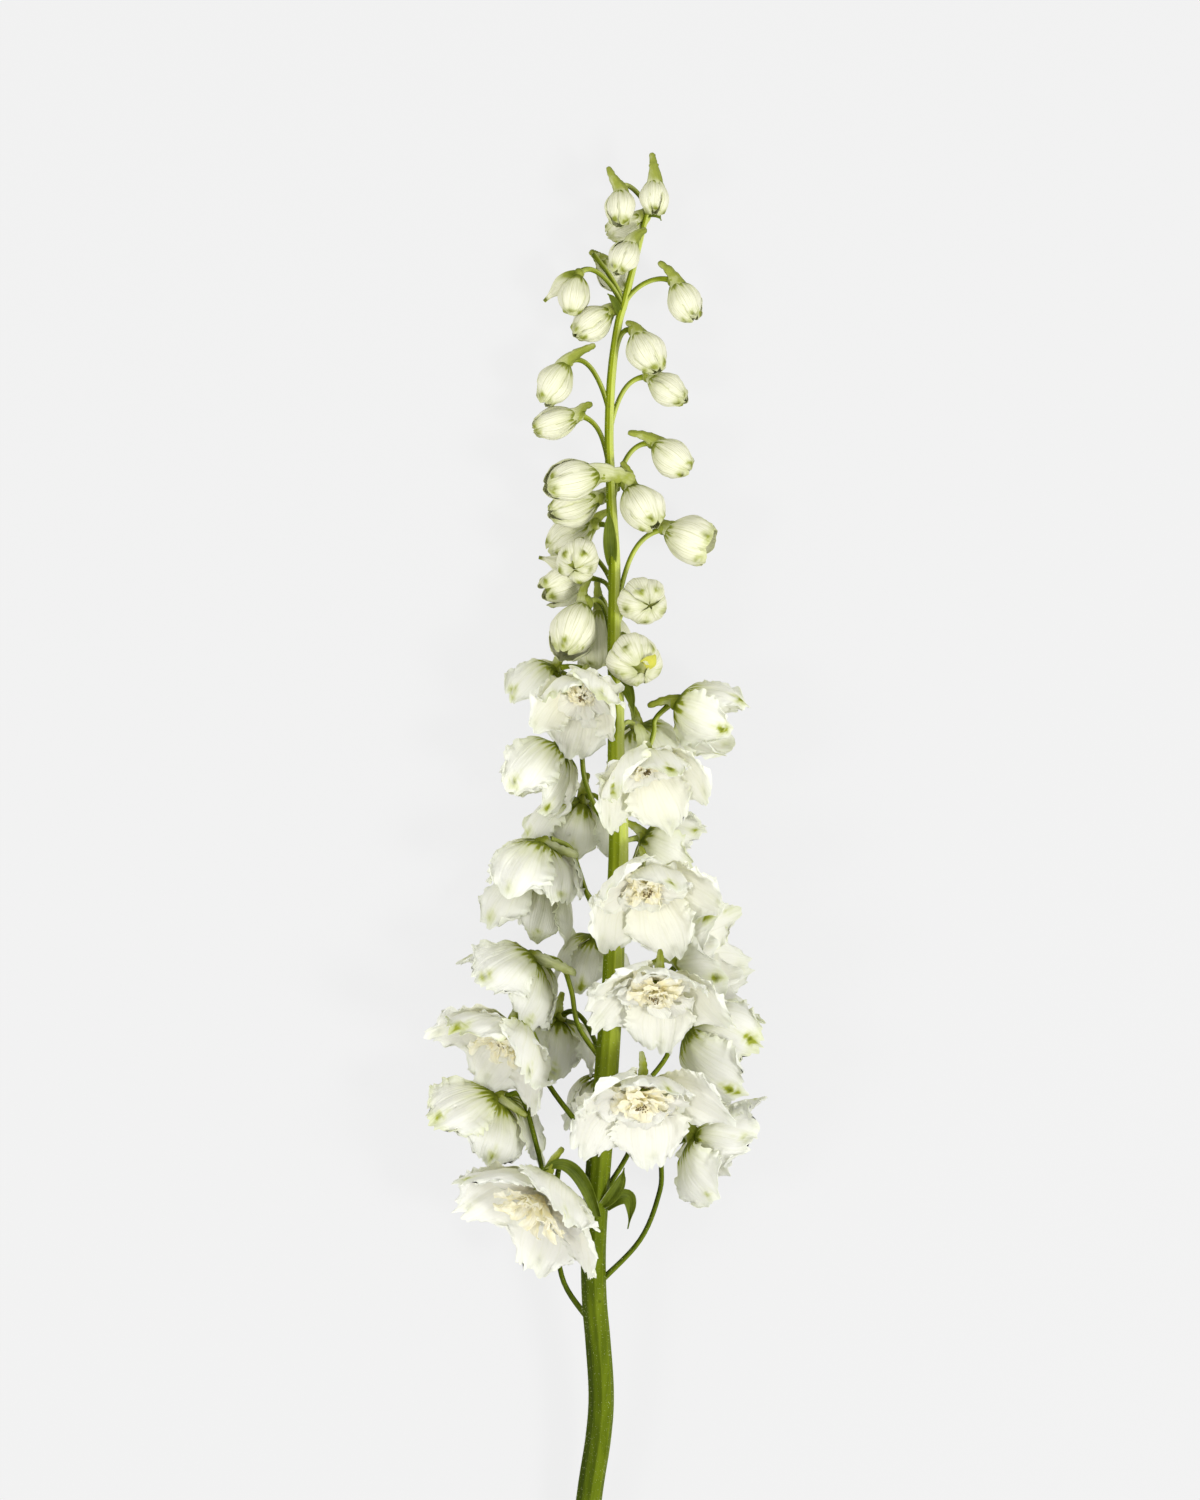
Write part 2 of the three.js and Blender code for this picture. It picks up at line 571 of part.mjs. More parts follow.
// A pedicel leaves the stem upwards and outwards, and turns over into the receptacle.
function pedicelOf(row, footShare) {
  const axes = axesOf(row);
  const end = axes.centre.clone().addScaledVector(axes.into, -(axes.hub * footShare + seat));
  const { point: foot, radius } = stemAt(row.joins);
  const span = end.distanceTo(foot);
  const rise = foot.clone().add(new THREE.Vector3(0, 0.35 * span, 0)).lerp(end, 0.22);
  const turn = end.clone().addScaledVector(axes.into, -0.3 * span);
  const curve = row.via
    ? new THREE.CatmullRomCurve3([foot, ...row.via.map(vec).reverse(), end])
    : new THREE.CubicBezierCurve3(foot, rise, turn, end);
  const steps = row.via ? 5 : 3;
  const points = curve.getPoints(steps);
  const radii = points.map(() => pedicelRadius);
  radii[0] = Math.min(pedicelRadius * pedicelRoot, radius * 0.8);
  radii[steps] = pedicelRadius * pedicelHead;
  return rod(points, radii, 4);
}

function stemSolid() {
  const points = stemStations.map(([y, x, z]) => new THREE.Vector3(x, y, z));
  const radii = stemStations.map((station) => station[3]);
  const pedicels = [
    ...buds.map((row) => pedicelOf(row, budFoot)),
    ...blooms.map((row) => pedicelOf(row, bloomFoot)),
  ];
  return wholeOf([rod(points, radii, 8, ribShare), ...pedicels, ...bracts.map(bractSolid)]);
}

const spike = new THREE.Group();
spike.position.set(...frameShift, 0);
spike.add(meshOf('stem', stemSolid(), stemGreen));
const label = (kind, number) => kind + '_' + String(number).padStart(2, '0');
buds.forEach((row, i) => {
  spike.add(meshOf(label('bud', i + 1), budSolid(row, i + 1), budWhite));
});
blooms.forEach((row, i) => {
  const number = buds.length + i + 1;
  spike.add(meshOf(label('bloom', number), bloomSolid(row, number), petalWhite));
  if (row.bee) spike.add(meshOf(label('bee', number), beeSolid(row, number), beeCream));
});

export default spike;
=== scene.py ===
import json
import math

import bpy
import numpy as np
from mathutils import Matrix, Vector

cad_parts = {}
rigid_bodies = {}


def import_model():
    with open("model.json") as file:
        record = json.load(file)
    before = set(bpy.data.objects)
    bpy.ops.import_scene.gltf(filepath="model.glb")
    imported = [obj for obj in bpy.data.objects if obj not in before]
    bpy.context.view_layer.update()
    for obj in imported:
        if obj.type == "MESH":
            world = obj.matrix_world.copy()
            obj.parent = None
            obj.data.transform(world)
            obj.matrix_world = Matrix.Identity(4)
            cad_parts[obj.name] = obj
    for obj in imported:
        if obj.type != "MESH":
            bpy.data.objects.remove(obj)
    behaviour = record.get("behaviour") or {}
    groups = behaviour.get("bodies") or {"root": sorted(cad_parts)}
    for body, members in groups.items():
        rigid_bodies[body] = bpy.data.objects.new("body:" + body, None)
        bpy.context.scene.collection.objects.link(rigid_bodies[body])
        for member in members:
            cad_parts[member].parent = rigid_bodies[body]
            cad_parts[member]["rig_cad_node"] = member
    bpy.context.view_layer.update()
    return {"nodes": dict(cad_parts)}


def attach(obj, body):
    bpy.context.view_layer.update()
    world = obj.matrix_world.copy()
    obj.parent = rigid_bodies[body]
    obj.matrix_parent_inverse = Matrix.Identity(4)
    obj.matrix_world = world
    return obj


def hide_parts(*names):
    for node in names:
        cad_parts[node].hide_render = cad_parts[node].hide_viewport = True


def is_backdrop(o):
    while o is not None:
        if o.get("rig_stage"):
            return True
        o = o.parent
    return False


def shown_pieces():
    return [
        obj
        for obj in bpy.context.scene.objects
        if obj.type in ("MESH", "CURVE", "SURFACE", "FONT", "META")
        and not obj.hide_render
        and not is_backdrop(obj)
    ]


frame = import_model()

scene = bpy.context.scene
mm = 0.001
shift = np.array([1.1, -170.4, 0.0])  # from the lists' places to the frame, in mm
print("frame loaded:", len(frame["nodes"]), "nodes")

# What grew where is in mm: +Y runs to the tip, and z is the height above the table.
# The stem's centre line from the cut end to the tip: along, across, height, radius
stemStations = [
    (-108, -17, 4.3, 4.3), (-70, -12, 6, 4.3), (-35, -7.5, 9.5, 4.3), (0, -3.7, 14, 4.25),
    (20, -0.7, 17, 4.25), (35, 0.3, 19.5, 4.2), (53, -0.8, 22.5, 4.15), (67, -2, 25, 4.1),
    (83, -2.3, 27.5, 4.1), (100, -1.5, 30, 4.15), (117, -0.2, 32, 4.1), (133, 1.3, 33.5, 4.0),
    (150, 2.5, 34.5, 3.9), (170, 4, 35, 3.6), (187, 4.7, 34.7, 3.4), (213, 6, 33.5, 3.3),
    (233, 6, 32, 3.0), (247, 5.3, 31, 2.8), (267, 5.3, 29, 2.6), (283, 4.7, 27.3, 2.3),
    (300, 4.7, 25.5, 2.0), (313, 4.7, 24, 2.0), (327, 4, 22.5, 1.8), (340, 3.5, 21, 1.6),
    (353, 3, 19.7, 1.5), (367, 3.3, 18.3, 1.5), (380, 4.3, 17, 1.45), (393, 6.2, 15.8, 1.35),
    (400, 8.2, 15.2, 1.3), (410, 10.7, 14.4, 1.15), (420, 13.3, 13.7, 0.95),
    (429.5, 15.7, 13, 0.8), (431, 16.2, 12.8, 0.7),
]
usual = dict(
    open=0, slim=1, turn=0, hood=0, snug=False, peek=False, inner=0, bee=0, beeTall=1, flatSpur=1,
)


# one bud or bloom: at is its receptacle, facing is degrees round from +X and above level, petal is a
# sepal's length, joins is where its pedicel leaves the stem, via are points that the pedicel passes,
# spur is the spur's tip, slim is a bud's girth, inner is how many petals show inside the sepals and
# bee is the width of the cream tuft in the throat
def floret(at, facing, petal, joins, **more):
    row = dict(usual, at=at, facing=facing, petal=petal, joins=joins, **more)
    row.setdefault("mouth", row["open"])
    return row


buds = [
    floret((18.1, 441.3, 21), (-91, 16), 14, 429, slim=0.92, spur=(17.3, 449.3, 20)),
    floret((6.9, 437.7, 20), (-91, 20), 14.3, 430.7, slim=0.96, spur=(2.7, 444.7, 19)),
    floret((14.7, 429, 11), (-155, 0), 15, 425, slim=0.96),
    floret((11.2, 420.5, 20), (-117, 22), 15.2, 412.7, slim=0.95, spur=(15.3, 424, 18)),
    floret((-0.3, 415, 6.8), (-50, 0), 15.5, 399, spur=(-3.3, 417.5, 6.5)),
    floret((-7.2, 409.3, 16), (-100, 8), 15.5, 398.3, slim=0.97, spur=(-18.7, 400.2, 15), flare=7),
    floret((4, 397.3, 14), (-145, 10), 17, 394, slim=0.97, spur=(8, 398.3, 13)),
    floret((24.6, 406.8, 16), (-61, 8), 16.5, 399, slim=0.95, spur=(19.7, 413.3, 15)),
    floret((11.6, 390, 19), (-61, 20), 18, 372.3, spur=(9, 393, 16)),
    floret((16.2, 375.1, 14), (-34, 15), 17, 356.7, slim=0.95),
    floret((-10.9, 379.9, 16), (-121, 6), 17, 363.3, spur=(-1.7, 385.3, 20)),
    floret((-7, 362.2, 15), (-163, 5), 17.5, 343.3, slim=0.89, spur=(-2.7, 366, 13)),
    floret((17.6, 352.8, 17), (-36, 12), 17.5, 331.7, slim=0.98, spur=(9.5, 356, 20)),
    floret((0.3, 342, 28), (-166, 12), 20.5, 339.3, open=0.12, mouth=0.04, slim=0.96, flatSpur=0.5,
           spur=(11.3, 340, 26)),
    floret((9.3, 338.3, 22), (-57, 20), 19.5, 315, open=0.05, slim=1.03, spur=(7.3, 346, 25)),
    floret((21.2, 324, 20), (-22, 5), 17.5, 293, open=0.3, tips=0.9, slim=1.02, spur=(13.8, 326.8, 13.5)),
    floret((0, 334.3, 17), (-163, 3), 19, 318.3, slim=0.95),
    floret((-2, 326, 6.8), (-150, 0), 19, 316.7),
    floret((-6, 316.7, 22), (-110, 65), 19, 303.3, open=0.1, mouth=-0.06, glands=0.74, slim=1.05),
    floret((-4.8, 308, 12), (-157, 10), 16.5, 300, open=0.2, spur=(-20.5, 314.5, 15), flare=7),
    floret((12.2, 301.5, 24), (-40, 72), 19.5, 286.7, open=0.12, mouth=-0.05, glands=0.74, slim=1.15),
    floret((-5, 299, 24), (-112, 25), 22.5, 276, open=0.12, mouth=0.06, slim=1.02),
    floret((0, 298.3, 12), (-85, -5), 22, 280, open=0.3),
    floret((8.4, 284.2, 28.3), (-55, 62), 21.5, 273.3, open=0.2, mouth=0.02, peek=True, glands=0.74, slim=1.1),
]

blooms = [
    floret((-14.3, 277.3, 15), (-125, -15), 17.5, 266.7, open=0.4),
    floret((-5, 271, 33), (-107, 45), 23, 251.7, open=0.45, inner=3, bee=7),
    floret((25.3, 265.7, 25), (-23, 5), 25, 226.7, open=0.22, turn=36, snug=True, spur=(16, 264.7, 25),
           via=[(18.3, 260, 24), (17, 252.7, 26)]),
    floret((14, 248.5, 46), (-74, 30), 27, 236.7, open=0.5, inner=4, bee=8, flatSpur=0.6),
    floret((-13, 250.7, 26), (-129, 5), 25.5, 223.3, open=0.3, snug=True, inner=2,
           via=[(-6.5, 250.5, 28), (-5, 240, 31), (0, 228.3, 33)]),
    floret((-5.3, 233.3, 16), (-105, -18), 23, 216.7, open=0.45),
    floret((14.3, 220.7, 14), (-30, -5), 22, 210, open=0.5),
    floret((-18.3, 219.3, 33), (-105, -8), 23, 188.3, open=0.58, snug=True, inner=2, flatSpur=0.5,
           spur=(-7.3, 215, 36), via=[(-10, 217.5, 30), (-7, 210, 29), (-3.3, 200, 31)]),
    floret((-20, 206.7, 12.5), (-110, -6), 24, 183, open=0.45),
    floret((14.5, 208.5, 47), (-77, 40), 27.5, 191.7, open=0.62, hood=8, inner=5, bee=12),
    floret((-21.3, 181, 28), (-131, -5), 25.5, 145, open=0.58, snug=True, inner=2, flatSpur=0.5,
           spur=(-8.3, 176, 36), via=[(-13, 179, 29), (-9.5, 170, 33), (-7, 158, 34)]),
    floret((-1, 187.7, 14), (-98, -15), 21, 166.7, open=0.4),
    floret((18.3, 174.5, 53), (-95, 34), 26.5, 148, open=0.82, inner=5, bee=13),
    floret((26.5, 179, 24), (12, 14), 26, 163, open=0.55),
    floret((28.8, 158, 24.5), (-27, -6), 28.5, 123, open=0.42, snug=True, via=[(23.3, 155, 25), (21, 146, 27)]),
    floret((-28, 158.8, 41.5), (-127, 20), 29, 116.7, open=0.68, turn=36, inner=4, bee=11, beeTall=1.6,
           via=[(-22.5, 156.5, 32), (-19, 147, 32), (-16.7, 138.3, 33)]),
    floret((-13.3, 160.2, 13), (-102, -10), 22, 141.7, open=0.4),
    floret((-33.3, 134.6, 26), (-126, -24), 24, 56.7, open=0.82, turn=-6, snug=True, spur=(-24.5, 128.5, 33),
           via=[(-26, 134.5, 29), (-21, 118, 30), (-18.5, 106, 23), (-15, 90, 19), (-12, 72, 20)]),
    floret((13.3, 139.5, 52), (-87, 34), 29.5, 98.3, open=0.82, hood=4, inner=5, bee=14,
           via=[(12.5, 131, 34), (10, 117, 29)]),
    floret((30.6, 121.2, 25), (-30, -9), 26, 70.7, open=0.78, snug=True,
           via=[(21, 115, 24), (20, 103.3, 25), (13.3, 86.7, 26)]),
    floret((-17, 106.5, 42), (-122, 22), 33, 97.3, open=0.76, inner=4, bee=12, beeTall=1.7,
           via=[(-12.5, 112.5, 33.5), (-6, 107, 33.5)]),
    floret((1, 141, 12.5), (-90, -10), 20, 130, open=0.4),
    floret((12, 258, 13), (-70, -20), 21, 250, open=0.4),
]

# leafy bracts: where they leave the stem, the bend, the tip and the width
bracts = [
    ((2, 98, 31), (13, 108, 33), (9.3, 90.7, 26), 5),
    ((-3, 95, 31), (-9, 97, 31), (-11, 104, 27), 6),
    ((1, 99, 33), (7, 104, 37), (8, 111, 33), 4.5),
    ((-1, 95, 35), (-9, 122, 41), (-21.5, 108.5, 44), 4.6),
    ((5, 272, 29), (9.5, 275, 31.5), (11.5, 260.5, 33), 4.5),
    ((3.9, 312, 24.5), (3, 320, 28), (3, 331, 25.5), 4.5),
    ((7, 395, 15.5), (5, 401, 18), (2.5, 402.5, 18.5), 2.5),
    ((15.7, 429, 13), (19, 431, 14), (20.5, 427.5, 12), 2.5),
]


def lerp(a, b, share):
    return a + (b - a) * share


def smooth(x, low, high):
    x = np.clip((x - low) / (high - low), 0, 1)
    return x * x * (3 - 2 * x)


# 1 at the middle, fading over the width
def bell(x, middle, width):
    return np.exp(-(((x - middle) / width) ** 2))


def unit(a):
    return a / np.maximum(np.linalg.norm(a, axis=-1, keepdims=True), 1e-9)


# a repeatable draw between -1 and 1 for item i and its feature j
def wobble(i, j):
    s = math.sin(i * 12.9898 + j * 78.233) * 43758.5453
    return 2 * (s - math.floor(s)) - 1


# the draws of petal i of a bud or bloom
def drawsOf(number, i):
    return lambda k: wobble(number, i + k)


# a smooth repeatable roughness along a line, about -1 to 1, for waves of roughly this length
def rough(seed, x, wave):
    draws = np.random.default_rng(seed)
    total = 0
    for _ in range(5):
        total = total + np.sin(2 * math.pi * x / (wave * draws.uniform(0.6, 1.7)) + draws.uniform(0, 6.3))
    return total / 2.6


# the same over a surface
def field(seed, x, y, wave):
    draws = np.random.default_rng(seed)
    total = 0
    for _ in range(7):
        way, length = draws.uniform(0, 6.3), wave * draws.uniform(0.6, 1.7)
        run = x * math.cos(way) + y * math.sin(way)
        total = total + np.sin(2 * math.pi * run / length + draws.uniform(0, 6.3))
    return total / 3


# t runs down a sheet from 0 to 1 and v over it from -1 to 1
def gridOf(rows, columns):
    return np.linspace(0, 1, rows)[:, None], np.linspace(-1, 1, columns)[None, :]


# a smooth line through points, with this many steps from each to the next
def throughPoints(points, steps):
    points = np.array(points, float)
    ends = np.vstack([2 * points[0] - points[1], points, 2 * points[-1] - points[-2]])
    line = []
    for a, b, c, d in zip(ends, ends[1:], ends[2:], ends[3:]):
        for s in np.linspace(0, 1, steps, endpoint=False):
            bends = (2 * a - 5 * b + 4 * c - d) * s ** 2 + (3 * b - a - 3 * c + d) * s ** 3
            line.append(0.5 * (2 * b + (c - a) * s + bends))
    return np.array(line + [ends[-2]])


def stemAt(along):
    rows = np.array(stemStations, float)
    return np.array([np.interp(along, rows[:, 0], rows[:, k]) for k in (1, 0, 2, 3)])


# where a bud or bloom faces, the side of its spur, across, and how its pedicel runs in
def axesOf(row):
    around, above = (math.radians(a) for a in row["facing"])
    at = np.array(row["at"], float)
    facing = np.array([
        math.cos(above) * math.cos(around), math.cos(above) * math.sin(around), math.sin(above),
    ])
    outward = at - stemAt(at[1])[:3]
    outward[1] = 0
    tipwards = np.array([0.0, 1, 0]) + 0.8 * unit(outward)
    back = unit(tipwards - tipwards.dot(facing) * facing)
    return dict(
        centre=at, facing=facing, back=back, across=np.cross(facing, back),
        into=unit(0.75 * facing + 0.65 * back), hub=row["petal"] * 0.12,
    )


# the same axes with their centre moved out along the facing
def movedOut(axes, distance):
    return dict(axes, centre=axes["centre"] + axes["facing"] * distance)


# the way that an angle round the facing points to
def spoke(axes, angle):
    return np.cos(angle) * axes["across"] + np.sin(angle) * axes["back"]


def placed(name, data):
    made = bpy.data.objects.new(name, data)
    scene.collection.objects.link(made)
    return made


# how much of each colour lies over a skin's own, and how thick the tissue is
def paintOf(green, gland=0, cream=0, thick=1):
    return np.stack(np.broadcast_arrays(green, gland, cream, thick), -1)


# parts are (points, faces, uv, paint) with points in mm, gathered into one mesh
def meshOf(name, parts, skin, sharp=60, floor=0.03):
    points, faces, uv, paint = zip(*parts)
    starts = np.cumsum([0] + [len(p) for p in points])
    points = np.concatenate(points) + shift
    points[:, 2] = np.maximum(points[:, 2], floor)
    faces = np.concatenate([f + start for f, start in zip(faces, starts)])
    mesh = bpy.data.meshes.new(name)
    mesh.vertices.add(len(points))
    mesh.vertices.foreach_set("co", (points * mm).ravel())
    mesh.loops.add(faces.size)
    mesh.loops.foreach_set("vertex_index", faces.ravel().astype(np.int32))
    mesh.polygons.add(len(faces))
    mesh.polygons.foreach_set("loop_start", np.arange(0, faces.size, 4, dtype=np.int32))
    mesh.update(calc_edges=True)
    layer = mesh.uv_layers.new(name="UVMap")
    layer.data.foreach_set("uv", np.concatenate(uv)[faces.ravel()].ravel())
    colours = mesh.attributes.new("paint", "FLOAT_COLOR", "POINT")
    colours.data.foreach_set("color", np.concatenate(paint).ravel())
    mesh.polygons.foreach_set("use_smooth", np.ones(len(faces), bool))
    mesh.set_sharp_from_angle(angle=math.radians(sharp))
    mesh.materials.append(skin)
    mesh.validate()
    return placed(name, mesh)


# quads of a closed sheet of rows x columns: a front, a back and a rim
def sheetFaces(rows, columns):
    r, c = np.meshgrid(np.arange(rows - 1), np.arange(columns - 1), indexing="ij")
    a = (r * columns + c).ravel()
    front = np.stack([a, a + 1, a + columns + 1, a + columns], 1)
    count = rows * columns
    rim = list(range(columns)) + [r * columns + columns - 1 for r in range(1, rows)]
    rim += [count - 1 - k for k in range(1, columns)] + [r * columns for r in range(rows - 2, 0, -1)]
    rim = np.array(rim)
    ahead = np.roll(rim, -1)
    sides = np.stack([rim, rim + count, ahead + count, ahead], 1)
    return np.concatenate([front, front[:, ::-1] + count, sides])


# a closed thin sheet from a grid of points and the rough way that its outer side faces
def sheetPart(grid, outward, thickness, outerPaint, innerPaint, t, v):
    along, over = np.gradient(grid, axis=0), np.gradient(grid, axis=1)
    normal = unit(np.cross(over, along))
    outside = (normal * outward).sum() > 0
    normal = normal * (1 if outside else -1)
    half = thickness[..., None] / 2
    points = np.concatenate([(grid + normal * half).reshape(-1, 3), (grid - normal * half).reshape(-1, 3)])
    faces = sheetFaces(*grid.shape[:2])
    uv = np.stack([(0.5 + 0.5 * v).ravel(), t.ravel()], 1)
    paint = np.concatenate([outerPaint.reshape(-1, 4), innerPaint.reshape(-1, 4)])
    return points, faces[:, ::-1] if outside else faces, np.concatenate([uv, uv]), paint


capSizes = dict(ring=0.02, rise=0.35)  # a tube's ends close to a small ring


# a tube through the points with a radius for each; flute and flat shape its section
def tubePart(path, radii, sides, paint, flute, flutes=5, flat=1.0):
    path = np.array(path, float)
    along = unit(np.gradient(path, axis=0))
    side = np.cross(along[0], [0.05, 0, 1.0])
    turn = 2 * math.pi * np.arange(sides) / sides
    rings = []
    for point, way, radius in zip(path, along, radii):
        side = unit(side - side.dot(way) * way)
        other = np.cross(way, side)
        reach = (radius * (1 + flute * np.cos(flutes * turn)))[:, None]
        rings.append(point + reach * (np.cos(turn)[:, None] * side + flat * np.sin(turn)[:, None] * other))
    ring, rise = capSizes["ring"], capSizes["rise"]
    first = path[0] + (rings[0] - path[0]) * ring - along[0] * radii[0] * rise
    last = path[-1] + (rings[-2] - path[-1]) * ring + along[-1] * radii[-1] * rise
    grid = np.array([first, *rings, last])
    rows = len(grid)
    r, c = np.meshgrid(np.arange(rows - 1), np.arange(sides), indexing="ij")
    a, b = (r * sides + c).ravel(), (r * sides + (c + 1) % sides).ravel()
    caps = [
        [base + k - 1, base + k, base + sides - k - 1, base + sides - k][::order]
        for base, order in ((0, -1), ((rows - 1) * sides, 1)) for k in range(1, sides // 2)
    ]
    faces = np.concatenate([np.stack([a, b, b + sides, a + sides], 1), np.array(caps)])
    t, around = np.broadcast_arrays(np.linspace(0, 1, rows)[:, None], np.arange(sides)[None, :] / sides)
    uv = np.stack([around.ravel(), t.ravel()], 1)
    colours = paint(t, np.cos(turn)[None, :] + t * 0).reshape(-1, 4)
    return grid.reshape(-1, 3), faces, uv, colours


ribbonSizes = dict(middle=0.5, edge=0.18, wave=0.3, waveLength=1.3)


# a closed leaf-like sheet from start over a bend to a tip
def ribbonPart(start, bend, tip, width, fold, paint, number, up=(0, 0, 1.0)):
    start, bend, tip = (np.array(p, float) for p in (start, bend, tip))
    t, v = gridOf(*paint.shape[:2])
    line = start * (1 - t) ** 2 + 2 * bend * t * (1 - t) + tip * t ** 2
    along = unit(np.gradient(line, axis=0))
    across = unit(np.cross(along, up))
    normal = np.cross(across, along)[:, None, :]
    waves = ribbonSizes["wave"] * fold * field(number, t * 2, v, ribbonSizes["waveLength"])
    rise = (fold * v * v + waves) * (1 - 0.5 * t)
    grid = line[:, None, :] + across[:, None, :] * (v * width / 2)[..., None] + normal * rise[..., None]
    t, v = np.broadcast_arrays(t, v)
    thickness = lerp(ribbonSizes["middle"], ribbonSizes["edge"], v * v)
    return sheetPart(grid, normal, thickness, paint, paint, t, v)


flareSizes = dict(rows=22, columns=13, fold=-1.3, tipWidth=0.28, arch=(0, 0.12, 0.1), darkAt=0.95)


# a sepal that stands off its bud, with a green tip
def flarePart(row, axes, number):
    t, v = gridOf(flareSizes["rows"], flareSizes["columns"])
    start = axes["centre"] + axes["facing"] * axes["hub"] * 0.6 - axes["across"] * 0.5
    tip = np.array(row["spur"], float)
    bend = (start + tip) / 2 + np.array(flareSizes["arch"]) * np.linalg.norm(tip - start)
    narrow = lerp(1, flareSizes["tipWidth"], smooth(t, 0.45, 1))
    broad = (0.55 + 0.45 * np.sin(math.pi * np.minimum(0.15 + t, 1))) * narrow
    streaks = np.clip(0.5 + 0.6 * rough(number + 400, 4 * v, 3.2), 0, 1)
    green = 0.9 * bell(t, 0, 0.25) + 0.5 * streaks * np.exp(-t / 0.4) + 0.7 * smooth(t, 0.86, 1)
    dark = 0.8 * bell(t, flareSizes["darkAt"], 0.04) * bell(v, 0, 0.5)
    paint = paintOf(np.clip(green, 0, 1), dark)
    return ribbonPart(start, bend, tip, row["flare"] * broad, flareSizes["fold"], paint, number)


# a petal's middle line: its lean, its reach out from the facing and its rise along it
def midrib(form, t):
    start, end = math.radians(form["baseLean"]), math.radians(form["tipLean"])
    turn = end - start
    lean = start + turn * t
    scale = form["length"] / turn
    girth = form["slim"] * lerp(form["footGirth"], 1, smooth(t, 0, 0.6))
    reach = form["root"] + scale * (math.cos(start) - np.cos(lean))
    return lean, reach * girth, form["foot"] + scale * (np.sin(lean) - math.sin(start))


def halfWidth(form, t):
    share = np.clip((t - form["shoulder"]) / (1 - form["shoulder"]), 0, 1)
    reach = midrib(form, t)[1]
    full = np.minimum(form["width"] / 2, math.radians(form["spread"]) * reach)
    return full * lerp(1, form["tip"], share ** 2.4) * np.minimum(1, t / 0.05)


petalSizes = dict(
    teethWave=2.4, lobeWaves=(8, 7), frillWave=4.6, crumpleWaves=(12, 4.5), creaseWave=7, streakWave=3.2,
    spotWave=1.1, patchWave=2.4, creamWave=3.5, rim=0.12, bunch=1.35, press=1.6,
)


